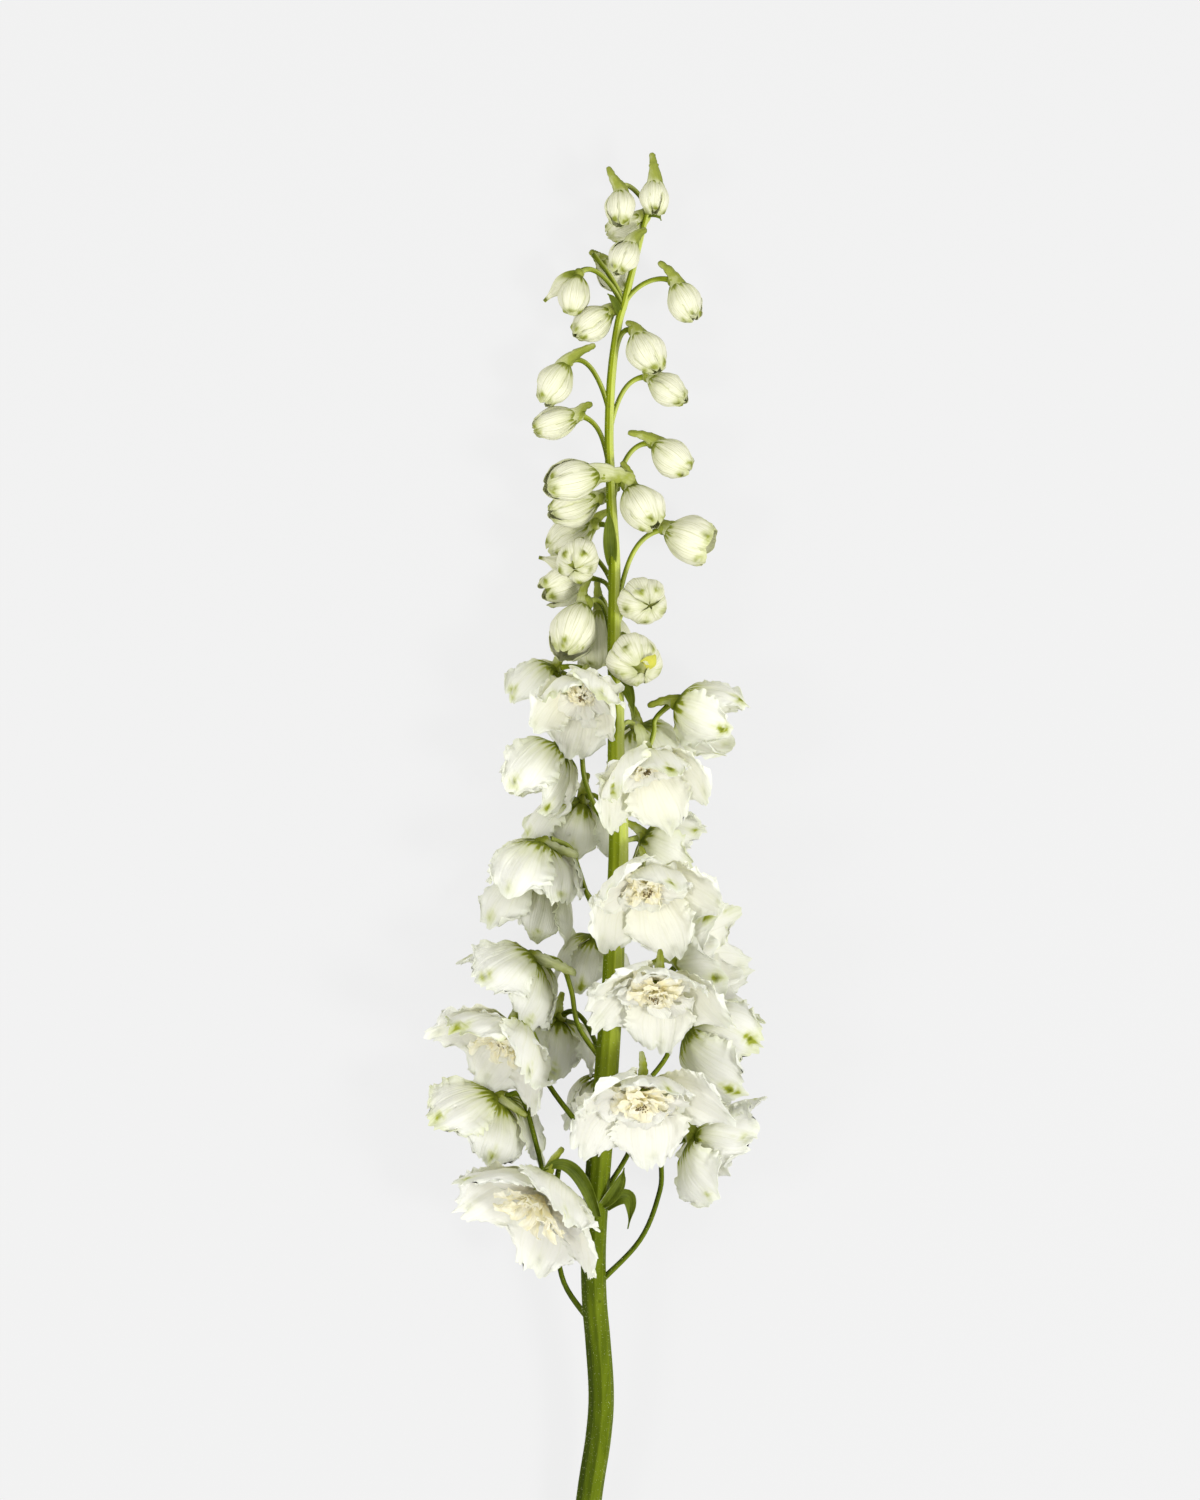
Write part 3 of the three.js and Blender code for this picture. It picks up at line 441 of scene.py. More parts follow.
# t runs out along the petal and v across it; seeds next to each other give its roughness
def petalPart(axes, form, seed, rows, columns):
    bunch, teethWave = petalSizes["bunch"], petalSizes["teethWave"]
    t, v = np.broadcast_arrays(
        np.linspace(0.02, 1, rows)[:, None],
        np.sin(np.linspace(-1, 1, columns) * bunch)[None, :] / math.sin(bunch),
    )
    length, side, bow = form["length"], np.abs(v), form["round"] * np.abs(v) ** 2.2
    tipEdge, sideEdge = smooth(t, 0.76, 1), side ** 5 * smooth(t, 0.12, 0.5)
    half = halfWidth(form, t * (1 - form["closed"] * bow))
    x, y = v * half, t * length
    edgeRun = y + 40 * np.sign(v)  # the two edges draw different waves
    half = half + form["teeth"] * sideEdge * rough(seed + 1, edgeRun, teethWave)
    half = half + form["lobes"] * sideEdge * rough(seed + 2, edgeRun, petalSizes["lobeWaves"][0])
    notches = form["teeth"] * rough(seed + 3, x, teethWave)
    notches = notches + form["lobes"] * rough(seed + 4, x, petalSizes["lobeWaves"][1])
    lean, reach, rise = midrib(form, t * (1 - bow + tipEdge ** 2 * notches / length))
    angle = math.radians(form["angle"]) + math.radians(form["twist"]) * t[..., None] ** 2
    out, around = spoke(axes, angle), spoke(axes, angle + math.pi / 2)
    lean, reach, rise = lean[..., None], reach[..., None], rise[..., None]
    outer = out * np.cos(lean) - axes["facing"] * np.sin(lean)
    curve = form["wrap"] * np.maximum(np.cos(lean), 0.15) / np.maximum(reach, 2)
    bend = curve * (v * half)[..., None]
    normal = outer * np.cos(bend) + around * np.sin(bend)

    # how far the sheet stands off its smooth form
    grown = smooth(t, 0.05, 0.4)
    edge = np.maximum(v ** 4, tipEdge ** 2)
    layer = lerp(*form["layer"], (v + 1) / 2)
    lift = layer * lerp(0.4, 1, smooth(t, 0, 0.3))
    lift = lift + form["ruffle"] * v * v * t * np.sin(form["waves"] * t + form["phase"] + 2 * v)
    frill = sideEdge * rough(seed + 5, edgeRun, petalSizes["frillWave"])
    frill = frill + tipEdge ** 2 * rough(seed + 6, x, petalSizes["frillWave"])
    broad, small = petalSizes["crumpleWaves"]
    crumple = field(seed + 7, x, 0.6 * y, broad) + 0.4 * field(seed + 8, x, 0.45 * y, small)
    lift = lift + form["frill"] * frill + form["crumple"] * grown * crumple
    pleats = np.cos(form["pleats"] * v + 2 * wobble(seed, 4))
    lift = lift + form["pleat"] * grown * (1 - 0.6 * tipEdge) * pleats
    lift = lift + form["belly"] * (1 - v * v) * np.sin(math.pi * t) - form["tuck"] * v * v * smooth(t, 0.1, 0.6)
    lift = lift - form["groove"] * bell(x, 0, 0.7) * grown * (1 - tipEdge)
    ridge = 1 - np.abs(rough(seed + 10, x / (0.35 + 0.65 * t) + 0.12 * y, petalSizes["creaseWave"]))
    lift = lift - form["crease"] * np.clip(ridge, 0, 1) ** 7 * smooth(t, 0.1, 0.3)
    lift = lift + form["lip"] * smooth(t, 0.8, 1) ** 2
    lift = lift + form["curl"] * layer / form["layerStep"] * v ** 4 * smooth(t, 0.05, 0.5)
    lift = lift + form["glandLift"] * bell(t, form["glandAt"], 0.05) * bell(x, 0, 1.1)
    grid = (
        axes["centre"] + out * reach + axes["facing"] * rise + around * np.sin(bend) / curve
        - outer * (1 - np.cos(bend)) / curve + normal * lift[..., None]
    )
    low, press = grid[..., 2], petalSizes["press"]  # a petal flattens out close to the table
    grid[..., 2] = np.where(low < press, press * np.exp((np.minimum(low, press) - press) / press), low)

    # the green star at the foot, the gland near the tip, the margin and the cream throat
    fan = x / (0.25 + reach[..., 0] / length)
    streaks = np.clip(0.5 + 0.6 * rough(seed + 9, fan, petalSizes["streakWave"]), 0, 1)
    star = form["greenBase"] * (0.65 + 0.6 * streaks)
    green = 1 - smooth(t, 0.5 * star, 1.4 * star)
    washed = form["wash"] * (1 - form["streaks"] + form["streaks"] * streaks)
    green = green + washed * bell(t, 0, 1.75 * form["greenBase"])
    halo = bell(t, form["glandAt"], 0.07) * bell(x, 0, 1.7)
    keel = bell(x, 0, 0.6) * smooth(t, 0.6, 0.85) * (1 - tipEdge)
    margin = np.maximum(tipEdge, v ** 6 * smooth(t, 0.3, 0.6)) ** 2
    patchy = np.clip(0.75 + 0.6 * field(seed + 12, x, y, petalSizes["patchWave"]), 0, 1.3)
    green = green + form["halo"] * (halo + 0.4 * keel) * patchy + form["flush"] * margin
    spots = np.clip(0.6 + 0.7 * field(seed + 11, x, y, petalSizes["spotWave"]), 0, 1)
    gland = form["glandDark"] * spots * bell(t, form["glandAt"], 0.03) * bell(x, 0, 0.7)
    creamy = form["creamPatch"] * (field(seed + 13, x, y, petalSizes["creamWave"]) - 0.3)
    cream = form["cream"] * np.exp(-t / form["creamReach"]) * np.clip(1 + creamy, 0.1, 1.4)
    throat = cream + form["throat"] * np.exp(-t / 0.3)
    outerPaint = paintOf(np.clip(form["green"] * green, 0, 1), gland, cream, 1 - edge)
    innerPaint = paintOf(np.clip(form["inside"] * green, 0, 1), 0.2 * gland, throat, 1 - edge)
    return sheetPart(grid, normal, lerp(form["thick"], petalSizes["rim"], edge), outerPaint, innerPaint, t, v)


# what a petal is unless its kind says otherwise: shape first, then paint
plainPetal = dict(
    slim=1, footGirth=1, round=0.22, wrap=0.8, closed=0, layerStep=1, belly=0.5, tuck=0, glandAt=0.9, glandLift=0,
    thick=0.34, greenBase=0.1, halo=0, flush=0, glandDark=0, green=0, inside=0.35, creamPatch=0, throat=0.1,
)
openSepal = dict(
    plainPetal, tip=0.56, wrap=1, lobes=0.7, frill=0.7, crumple=0.6, crease=0.45, pleat=0.14, pleats=13,
    layerStep=2.1, groove=0.4, curl=1.3, glandAt=0.87, glandLift=0.4, greenBase=0.22, wash=0.42, streaks=0.5,
    green=1.0, cream=0.05, creamReach=0.3, throat=0.5,
)
sepalLayers = [(0, 0), (1, 1), (0, 0), (1, 1), (0, 1)]  # which edges lie over the next sepal


def sepalForm(row, number, i):
    petal, open = row["petal"], row["open"]
    draw = drawsOf(number, i)
    form = dict(
        openSepal,
        angle=90 + row["turn"] + 72 * i + 4 * draw(0),
        length=petal * (1.02 + 0.07 * draw(10)),
        width=petal * 0.95,
        spread=45,
        shoulder=0.6,
        baseLean=lerp(62, 88, open),
        tipLean=lerp(-55, 45, open) + 9 * draw(20) - row["hood"] * (i == 0),
        twist=9 * draw(25),
        lip=(0.4 + 0.9 * abs(draw(35))) * open * 1.6,
        halo=0.45 + 0.3 * draw(36),
        glandDark=0.6 + 0.4 * draw(37),
        flush=0.04 + 0.2 * max(draw(38), 0) ** 2,
        teeth=0.5 + 0.45 * open,
        root=petal * 0.05,
        foot=petal * 0.02,
        layer=[openSepal["layerStep"] * height for height in sepalLayers[i]],
        ruffle=1.2 * open,
        waves=12,
        phase=3 * draw(30),
    )
    if row["snug"]:
        form.update(tip=0.62, round=0.2, width=petal * 0.96, spread=46, shoulder=0.7)
    if row["bee"]:
        form.update(inside=0.05, throat=0.8)
    return form


innerPetal = dict(
    plainPetal, tip=0.62, teeth=0.4, lobes=0.9, frill=0.9, crumple=0.8, crease=0.35, pleat=0.2, pleats=10,
    groove=0.25, curl=1, wash=0.25, streaks=0.4, halo=0.1, green=0.4, cream=0.3, creamReach=0.4, throat=0.3,
)
innerAngles = ((270, 198, 342, 126, 54), (232, 308, 180, 0))


def innerForm(row, number, i, ring):
    petal, open = row["petal"], row["open"]
    draw = drawsOf(number, i)
    angle = innerAngles[ring][i] + 12 * draw(40 + 7 * ring)
    upper = math.sin(math.radians(angle)) > 0.3
    form = dict(
        innerPetal,
        angle=angle,
        length=petal * (0.76, 0.58)[ring] * (1 + 0.1 * draw(45 + 3 * ring)) * (0.72 if upper else 1),
        width=petal * (0.66, 0.5)[ring],
        spread=(42, 40)[ring],
        shoulder=0.5,
        baseLean=(72, 62)[ring],
        tipLean=lerp(-62, (58, 52)[ring], open) + 14 * draw(50),
        root=petal * 0.03,
        foot=petal * (0.05, 0.08)[ring],
        layer=[0, 0.3],
        ruffle=1.5 * open,
        waves=9,
        phase=3 * draw(60),
        twist=16 * draw(55),
        lip=1.6 * draw(65) * open,
    )
    if row["bee"]:  # an open throat: the petals rise, then spread flat
        form.update(
            length=form["length"] * (0.84, 0.78)[ring],
            baseLean=(54, 48)[ring],
            tipLean=(98, 86)[ring] + 14 * draw(50),
            lip=0.9 * draw(65),
        )
    return form


# green for stalk-like parts that belong to a bud or bloom, with a dark place at the foot
def spurPaint(strength, tip, foot=0):
    def paint(t, turn):
        green = strength * (0.75 + 0.25 * turn) * smooth(t, 0.0, 0.35) + tip * t + foot * bell(t, 0.3, 0.14)
        return paintOf(np.clip(green, 0, 1), 0.35 * smooth(t, 0.85, 1) * tip)
    return paint


spurSizes = dict(share=0.42, steps=7, sides=18, wrinkle=0.1, green=0.25)
budSpur = dict(sink=0.26, wide=0.215, flare=2.35, tip=0.95, strength=0.5, flute=0.12, foot=0)
bloomSpur = dict(sink=0.1, wide=0.11, flare=2.2, tip=0.95, strength=0.36, flute=0.13, foot=0.9)


# a spur whose broad foot is sunk in the bud, so that the bud narrows into it like a pear
def spurPart(row, axes, number, kind):
    hub, petal, flat = axes["hub"], row["petal"], row["flatSpur"]
    start = axes["centre"] + axes["facing"] * kind["sink"] * petal
    middle = axes["centre"] + axes["back"] * hub * 0.3 + axes["facing"] * hub * 0.3
    length = petal * spurSizes["share"]
    end = np.array(row.get("spur", middle - axes["facing"] * length + axes["back"] * 0.1 * length), float)
    bend = (middle + end) / 2 + axes["back"] * 0.1 * length
    path = throughPoints([start, middle, bend, end], spurSizes["steps"])
    gone = np.concatenate([[0], np.cumsum(np.linalg.norm(np.diff(path, axis=0), axis=1))])
    neck = gone[spurSizes["steps"]]
    t = np.clip((gone - neck) / (gone[-1] - neck), 0, 1)
    sunk = np.clip(1 - gone / neck, 0, 1)
    flare, tip = kind["flare"] / flat ** 0.5, kind["tip"] / flat
    broad = kind["wide"] * petal * row["slim"] - flare
    radii = lerp(flare, tip, 1 - (1 - t) ** 1.5) + broad * sunk ** 0.8
    wrinkle, strength = (1, 1) if flat == 1 else (1.8, 0.55)
    wrinkle = spurSizes["wrinkle"] * wrinkle * rough(number + 300, t, 0.22)
    radii = radii * (1 + wrinkle * smooth(t, 0.1, 0.4))
    radii[-1] *= 0.75
    paint = spurPaint(kind["strength"] * strength, spurSizes["green"], kind["foot"])
    return tubePart(path, radii, spurSizes["sides"], paint, kind["flute"], flat=flat)


coreSizes = dict(rows=12, sides=14, share=0.86, inset=0.5, flute=0.06, flutes=3)


# the pale body of the folded inner petals, which closes a bud's mouth
def corePart(axes, form):
    _, reach, rise = midrib(form, np.linspace(0.1, form["coreEnd"], coreSizes["rows"]))
    path = axes["centre"] + axes["facing"] * rise[:, None]
    radii = np.maximum(coreSizes["share"] * reach - coreSizes["inset"], 0.3)

    # its end takes the dark gland colour as a painted shadow for the hollow in the bud's mouth
    def paint(t, turn):
        return paintOf(0.22 + 0.3 * t ** 3 + 0.1 * turn, 0.85 * smooth(t, 0.9, 0.98), 0.4)
    return tubePart(path, radii, coreSizes["sides"], paint, coreSizes["flute"], coreSizes["flutes"])


receptacleSizes = dict(rows=8, sides=12, end=0.95, stretch=0.8, sink=0.25, green=0.95)


# the egg-shaped head of a pedicel
def receptaclePart(axes, size):
    t = np.linspace(-receptacleSizes["end"], receptacleSizes["end"], receptacleSizes["rows"])
    reach = (t[:, None] * receptacleSizes["stretch"] - receptacleSizes["sink"]) * size
    paint = spurPaint(receptacleSizes["green"], 0)
    return tubePart(
        axes["centre"] + axes["into"] * reach, np.sqrt(1 - t * t) * size, receptacleSizes["sides"], paint, 0,
    )


# on buds the green painted along the sepals' margins is partly painted shade, where the sepals overlap
budSepal = dict(
    openSepal, footGirth=0.72, layerStep=0.4, teeth=0.1, lobes=0.2, frill=0.16, crumple=0.4, crease=0.35,
    pleat=0.07, pleats=8, groove=0.15, curl=0.1, glandLift=0.75, thick=0.4, greenBase=0.2, wash=0.5, streaks=0.6,
    halo=0.5, flush=0.22, glandDark=1.0, inside=0.5, throat=0.1, round=0.06, coreEnd=0.9,
)
budSizes = dict(
    tip=1.0, openTip=0.62, tuck=0.15, openTuck=4, belly=0.4, puff=2.6, grid=(24, 15), innerGrid=(16, 11),
)


def budForm(row, number, i):
    mouth, shut = row["mouth"], "tips" in row  # a row with tips keeps its tips together
    draw = drawsOf(number, i)
    return dict(
        sepalForm(row, number, i),
        **dict(
            budSepal,
            slim=row["slim"],
            baseLean=64,
            tipLean=lerp(-64, 45, mouth) + 5 * draw(20),
            length=row["petal"] * (1.1 + 0.03 * draw(21)),
            width=row["petal"] * row["slim"],
            spread=52 if shut else 46,
            shoulder=0.72,
            layer=[budSepal["layerStep"] * height for height in sepalLayers[i]],
            ruffle=0.5 * row["open"],
            twist=5 * draw(25),
            lip=0.15 + 0.4 * abs(draw(26)),
            tuck=budSizes["tuck"] + (0 if shut else budSizes["openTuck"] * max(mouth, 0)),
            tip=row.get("tips", lerp(budSizes["tip"], budSizes["openTip"], smooth(mouth, 0.05, 0.25))),
            closed=float(mouth < 0.08 or shut),
            glandAt=row.get("glands", budSepal["glandAt"]) + 0.03 * draw(27),
            belly=budSizes["belly"] * (budSizes["puff"] if "glands" in row else 1),
        ),
    )


# the folded inner petals that show in the mouth of an opening bud
def youngInner(row, number, i):
    form = budForm(row, number, i)
    form.update(
        angle=form["angle"] + 36, length=form["length"] * 0.9, width=form["width"] * 0.62, lip=0.1, tip=0.5,
        round=0.3, tipLean=lerp(-60, 0, row["open"]) + 14 * wobble(number, i + 90), slim=row["slim"] * 0.72,
        crumple=0.7, frill=0.5, teeth=0.3, glandDark=0, halo=0.1, flush=0.05, cream=0.3, green=0.5, tuck=0,
        layer=[0, 0.6],
    )
    return form


peekSizes = dict(angle=98, foot=14.5, rise=21.5, over=19.4, out=6.6, width=5.0, fold=0.9, rows=14, columns=9)


# a yellow inner petal that lies over the lip of a bud's mouth
def peekPart(axes, number):
    t, v = gridOf(peekSizes["rows"], peekSizes["columns"])
    out = peekSizes["out"] * spoke(axes, math.radians(peekSizes["angle"]))
    start, bend, tip = (movedOut(axes, peekSizes[key])["centre"] for key in ("foot", "rise", "over"))
    broad = 0.35 + 0.65 * np.sin(math.pi * np.clip(0.1 + 0.75 * t, 0, 1))
    broad = broad * np.sqrt(np.clip(1.04 - smooth(t, 0.7, 1), 0, 1)) * peekSizes["width"]
    paint = paintOf(0.1 + 0.1 * v * v + 0 * t, 0, 1)
    bend, tip = bend + 0.3 * out, tip + out
    return ribbonPart(start, bend, tip, broad, peekSizes["fold"], paint, number, up=axes["facing"])


beeLobe = dict(
    plainPetal, tip=0.85, round=0.1, teeth=0.35, lobes=0.7, frill=0.55, crumple=0.4, crease=0, pleat=0.28,
    pleats=8, belly=0, groove=0.2, curl=0, lip=0.5, thick=0.3, wash=0, streaks=0, inside=0, cream=0.85,
    creamReach=0.8, creamPatch=0.9,
)
beeSizes = dict(
    foot=1.35, lobes=(8, 6, 4), reach=(0.76, 0.58, 0.34), lean=(66, 44, 22), wide=(1, 0.9, 0.7), width=0.4,
    root=(0.12, 0.09, 0.06), grid=(13, 11),
)


def beeForm(row, number, i, ring):
    size, tall, lean = row["bee"], row["beeTall"], beeSizes["lean"][ring] / row["beeTall"]
    draw = drawsOf(number, i)
    return dict(
        beeLobe,
        angle=90 + 360 / beeSizes["lobes"][ring] * (i + 0.5 * ring) + 16 * draw(70 + 9 * ring),
        length=size * beeSizes["reach"][ring] * (1 + 0.2 * draw(75 + ring)) * tall,
        width=size * beeSizes["width"] * beeSizes["wide"][ring],
        spread=50,
        shoulder=0.5,
        baseLean=lean,
        tipLean=lean + 34 + 22 * draw(80 + ring),
        root=size * beeSizes["root"][ring],
        foot=size * 0.02 * ring,
        layer=[0, 0.3],
        ruffle=0.8,
        waves=13,
        phase=3 * draw(85),
        twist=30 * draw(88),
    )


throatSizes = dict(width=0.3, foot=0.6, lobes=(6, 4), cream=0.8, grid=(9, 7))


# the small tuft that closes the throat of a flower seen from its side
def throatParts(row, axes, number):
    size = dict(row, bee=throatSizes["width"] * row["petal"])
    foot = movedOut(axes, axes["hub"] * throatSizes["foot"])
    return [
        petalPart(
            foot, dict(beeForm(size, number, i, ring + 1), cream=throatSizes["cream"]),
            number * 90 + 50 + 10 * ring + i, *throatSizes["grid"],
        )
        for ring, count in enumerate(throatSizes["lobes"]) for i in range(count)
    ]


# how many inner petals stand in each ring
def innerCounts(row):
    if row["inner"] < 3:
        return 3 if row["open"] > 0.35 else row["inner"], 0
    return (5, 2) if row["open"] > 0.75 else (4, 3)


# gives a node's inputs plain values or links; a node given as a value stands for its first output
def fill(made, inputs):
    for key, value in inputs.items():
        socket = made.inputs[key]
        if isinstance(value, bpy.types.Node):
            value = value.outputs[0]
        if isinstance(value, bpy.types.NodeSocket):
            made.id_data.links.new(value, socket)
        elif socket.type == "RGBA":
            socket.default_value = (*value, 1)
        else:
            socket.default_value = value
    return made


def put(tree, kind, inputs=(), **settings):
    made = tree.nodes.new(kind)
    for key, value in settings.items():
        setattr(made, key, value)
    return fill(made, dict(inputs))


def mixed(tree, factor, a, b, mode="MIX"):
    return put(tree, "ShaderNodeMix", {0: factor, 6: a, 7: b}, data_type="RGBA", blend_type=mode).outputs[2]


# the value from low to high, spread over the last two numbers
def ranged(tree, value, low, high, toLow=0, toHigh=1):
    return put(tree, "ShaderNodeMapRange", {0: value, 1: low, 2: high, 3: toLow, 4: toHigh})


def times(tree, a, b):
    return put(tree, "ShaderNodeMath", {0: a, 1: b}, operation="MULTIPLY")


def noise(tree, where, scale, detail, distortion=0, **settings):
    inputs = {"Vector": where, "Scale": scale, "Detail": detail, "Distortion": distortion}
    return put(tree, "ShaderNodeTexNoise", inputs, **settings)


def newSkin(name):
    skin = bpy.data.materials.new(name)
    skin.use_nodes = True
    tree = skin.node_tree
    return skin, tree, tree.nodes["Principled BSDF"], put(tree, "ShaderNodeTexCoord").outputs


# colour, relief and gloss of a shader; gives the relief back
def coat(tree, shader, colour, height, looks):
    bump = put(tree, "ShaderNodeBump", {
        "Strength": looks["bump"], "Distance": looks["bumpDepth"], "Height": height,
    })
    fill(shader, {
        "Base Color": colour, "Normal": bump, "Roughness": looks["roughness"],
        "Specular IOR Level": looks["specular"],
    })
    return bump


# a petal's skin: white with fanned veins, washed by the paint attribute
def petalSkin(name, looks):
    skin, tree, shader, place = newSkin(name)
    paint = put(tree, "ShaderNodeAttribute", attribute_name="paint")
    green, gland, cream = put(tree, "ShaderNodeSeparateColor", {0: paint.outputs["Color"]}).outputs
    fan = put(tree, "ShaderNodeMapping", {
        "Scale": (looks["veinCount"], looks["veinLength"], 1),
        "Vector": put(tree, "ShaderNodeUVMap", uv_map="UVMap"),
    })
    veins = noise(tree, fan, 1, 3, 0.25, noise_dimensions="2D")
    lines = ranged(tree, veins, *looks["veinEdges"])
    patchy = ranged(tree, noise(tree, place["Object"], looks["patchScale"], 3), 0.3, 0.7, *looks["patches"])
    along = put(tree, "ShaderNodeSeparateXYZ", {0: place["Object"]}).outputs["Y"]
    paintedShadeShare = ranged(tree, along, *looks["paintedShadeFrom"])  # painted shade: the flowers towards the cut end are painted a darker white
    colour = mixed(tree, paintedShadeShare, looks["white"], looks["paintedShadeWhite"])
    colour = mixed(tree, times(tree, lines, looks["veinStrength"]), colour, looks["vein"])
    # painted shade: the thin margins are painted greyer, on open petals for the dimmer light seen through the thin
    # tissue, on buds for shade along the sepals' overlapping edges
    thin = ranged(tree, paint.outputs["Alpha"], 0, 1, looks["paintedEdgeShadeStrength"], 0)
    colour = mixed(tree, thin, colour, looks["edge"])
    colour = mixed(tree, cream, colour, looks["cream"])
    wash = times(tree, green, patchy)
    washed = mixed(tree, wash, looks["paleGreen"], looks["green"])
    colour = mixed(tree, ranged(tree, wash, 0, looks["washFull"]), colour, washed)
    colour = mixed(tree, times(tree, lines, times(tree, green, looks["greenVeins"])), colour, looks["green"])
    colour = mixed(tree, times(tree, gland, patchy), colour, looks["gland"])
    bump = coat(tree, shader, colour, veins, looks)
    tinted = mixed(tree, 1, colour, looks["tissue"], "MULTIPLY")  # thin tissue lets light through
    through = put(tree, "ShaderNodeBsdfTranslucent", {"Color": tinted, "Normal": bump})
    both = put(tree, "ShaderNodeMixShader", {0: looks["glow"], 1: shader, 2: through})
    fill(tree.nodes["Material Output"], {"Surface": both})
    return skin


petalLooks = dict(
    white=(0.957, 0.95, 0.922), paintedShadeWhite=(0.895, 0.888, 0.872), paintedShadeFrom=(0.05, -0.03), cream=(0.95, 0.86, 0.58),
    green=(0.15, 0.19, 0.002), paleGreen=(0.67, 0.72, 0.11), gland=(0.07, 0.085, 0.004), washFull=0.45,
    vein=(0.80, 0.80, 0.68), veinCount=34, veinLength=1.6, veinEdges=(0.52, 0.7), veinStrength=0.3,
    greenVeins=0.3, patchScale=220, patches=(0.65, 1.15), edge=(0.90, 0.92, 0.88), paintedEdgeShadeStrength=0.35,
    bump=0.6, bumpDepth=0.0004, roughness=0.55, specular=0.15, glow=0.46, tissue=(0.985, 1.0, 0.93),
)
budLooks = dict(
    petalLooks, white=(0.86, 0.85, 0.68), paintedShadeWhite=(0.86, 0.85, 0.68), cream=(0.70, 0.66, 0.09),
    green=(0.14, 0.18, 0.004), paleGreen=(0.50, 0.54, 0.11), gland=(0.07, 0.075, 0.006), vein=(0.50, 0.51, 0.24),
    veinCount=26, veinStrength=0.6, edge=(0.72, 0.73, 0.48), paintedEdgeShadeStrength=0.55, glow=0.22, tissue=(0.98, 1.0, 0.9),
)
beeLooks = dict(
    petalLooks, white=(0.99, 0.985, 0.94), paintedShadeWhite=(0.99, 0.985, 0.94), cream=(0.99, 0.93, 0.63),
    vein=(0.98, 0.95, 0.82), veinCount=12, veinStrength=0.2, bump=0.5, paintedEdgeShadeStrength=0, glow=0.6,
    tissue=(1.0, 0.99, 0.92),
)
bractLooks = dict(
    petalLooks, white=(0.40, 0.44, 0.10), green=(0.07, 0.10, 0.003),
    paleGreen=(0.20, 0.25, 0.02), vein=(0.48, 0.52, 0.16), veinCount=9, veinStrength=0.5, glow=0.2,
)


# a stalk's skin: streaked green with pale ribs and dark specks, and pith where it is cut
def stalkSkin(name, looks):
    skin, tree, shader, place = newSkin(name)
    stretch = put(tree, "ShaderNodeMapping", {"Scale": looks["streakScale"], "Vector": place["Object"]})
    streaks = noise(tree, stretch, 1, 4)
    rib = put(tree, "ShaderNodeAttribute", attribute_name="rib").outputs["Fac"]
    patches = noise(tree, place["Object"], looks["patchScale"], 4)
    specks = put(tree, "ShaderNodeTexVoronoi", {"Scale": looks["speckScale"], "Vector": place["Object"]})
    along = put(tree, "ShaderNodeSeparateXYZ", {0: place["Object"]}).outputs["Y"]
    sideways, endways, _ = put(tree, "ShaderNodeSeparateXYZ", {0: place["Normal"]}).outputs
    colour = mixed(tree, ranged(tree, streaks, 0.35, 0.68), looks["dark"], looks["mid"])
    colour = mixed(tree, ranged(tree, rib, 0.55, 1, 0, looks["ribStrength"]), colour, looks["pale"])
    colour = mixed(tree, ranged(tree, patches, 0.5, 0.75, 0, looks["patchStrength"]), colour, looks["pale"])
    dots = times(tree, ranged(tree, specks, *looks["speckEdges"], 1, 0), ranged(tree, patches, 0.52, 0.6))
    colour = mixed(tree, times(tree, dots, looks["speckStrength"]), colour, looks["speck"])
    low = mixed(tree, 1, colour, looks["lowTint"], "MULTIPLY")
    colour = mixed(tree, ranged(tree, along, *looks["darkFrom"]), colour, low)
    paintedSideShade = mixed(tree, 1, colour, looks["paintedSideShadeTint"], "MULTIPLY")  # painted shade: the side of the spike that faces away from the key lamp is painted darker
    colour = mixed(tree, ranged(tree, sideways, *looks["paintedSideShadeFrom"]), colour, paintedSideShade)
    # painted light: on the upper stem the side that faces the key lamp is painted paler
    paintedSideLight = ranged(tree, sideways, *looks["paintedSideLightFrom"], 0, looks["litStrength"])
    colour = mixed(tree, times(tree, paintedSideLight, ranged(tree, along, *looks["litFrom"])), colour, looks["lit"])
    fromCut = put(tree, "ShaderNodeVectorMath", {0: place["Object"], 1: looks["cutAt"]}, operation="DISTANCE")
    cut = looks["cutAt"][1]
    atCut = times(tree, ranged(tree, endways, -0.8, -0.95), ranged(tree, along, cut + 2 * mm, cut + mm))
    pith = mixed(tree, ranged(tree, specks, 0.2, 0.6, 0, 0.35), looks["pith"], looks["pithShade"])
    ring = ranged(tree, fromCut.outputs["Value"], *looks["ringFrom"], 0, looks["ringStrength"])
    colour = mixed(tree, atCut, colour, mixed(tree, ring, pith, looks["cutRing"]))
    coat(tree, shader, colour, streaks, looks)
    fill(shader, {
        "Subsurface Weight": looks["scatter"], "Subsurface Radius": looks["scatterTint"], "Subsurface Scale": mm,
    })
    return skin


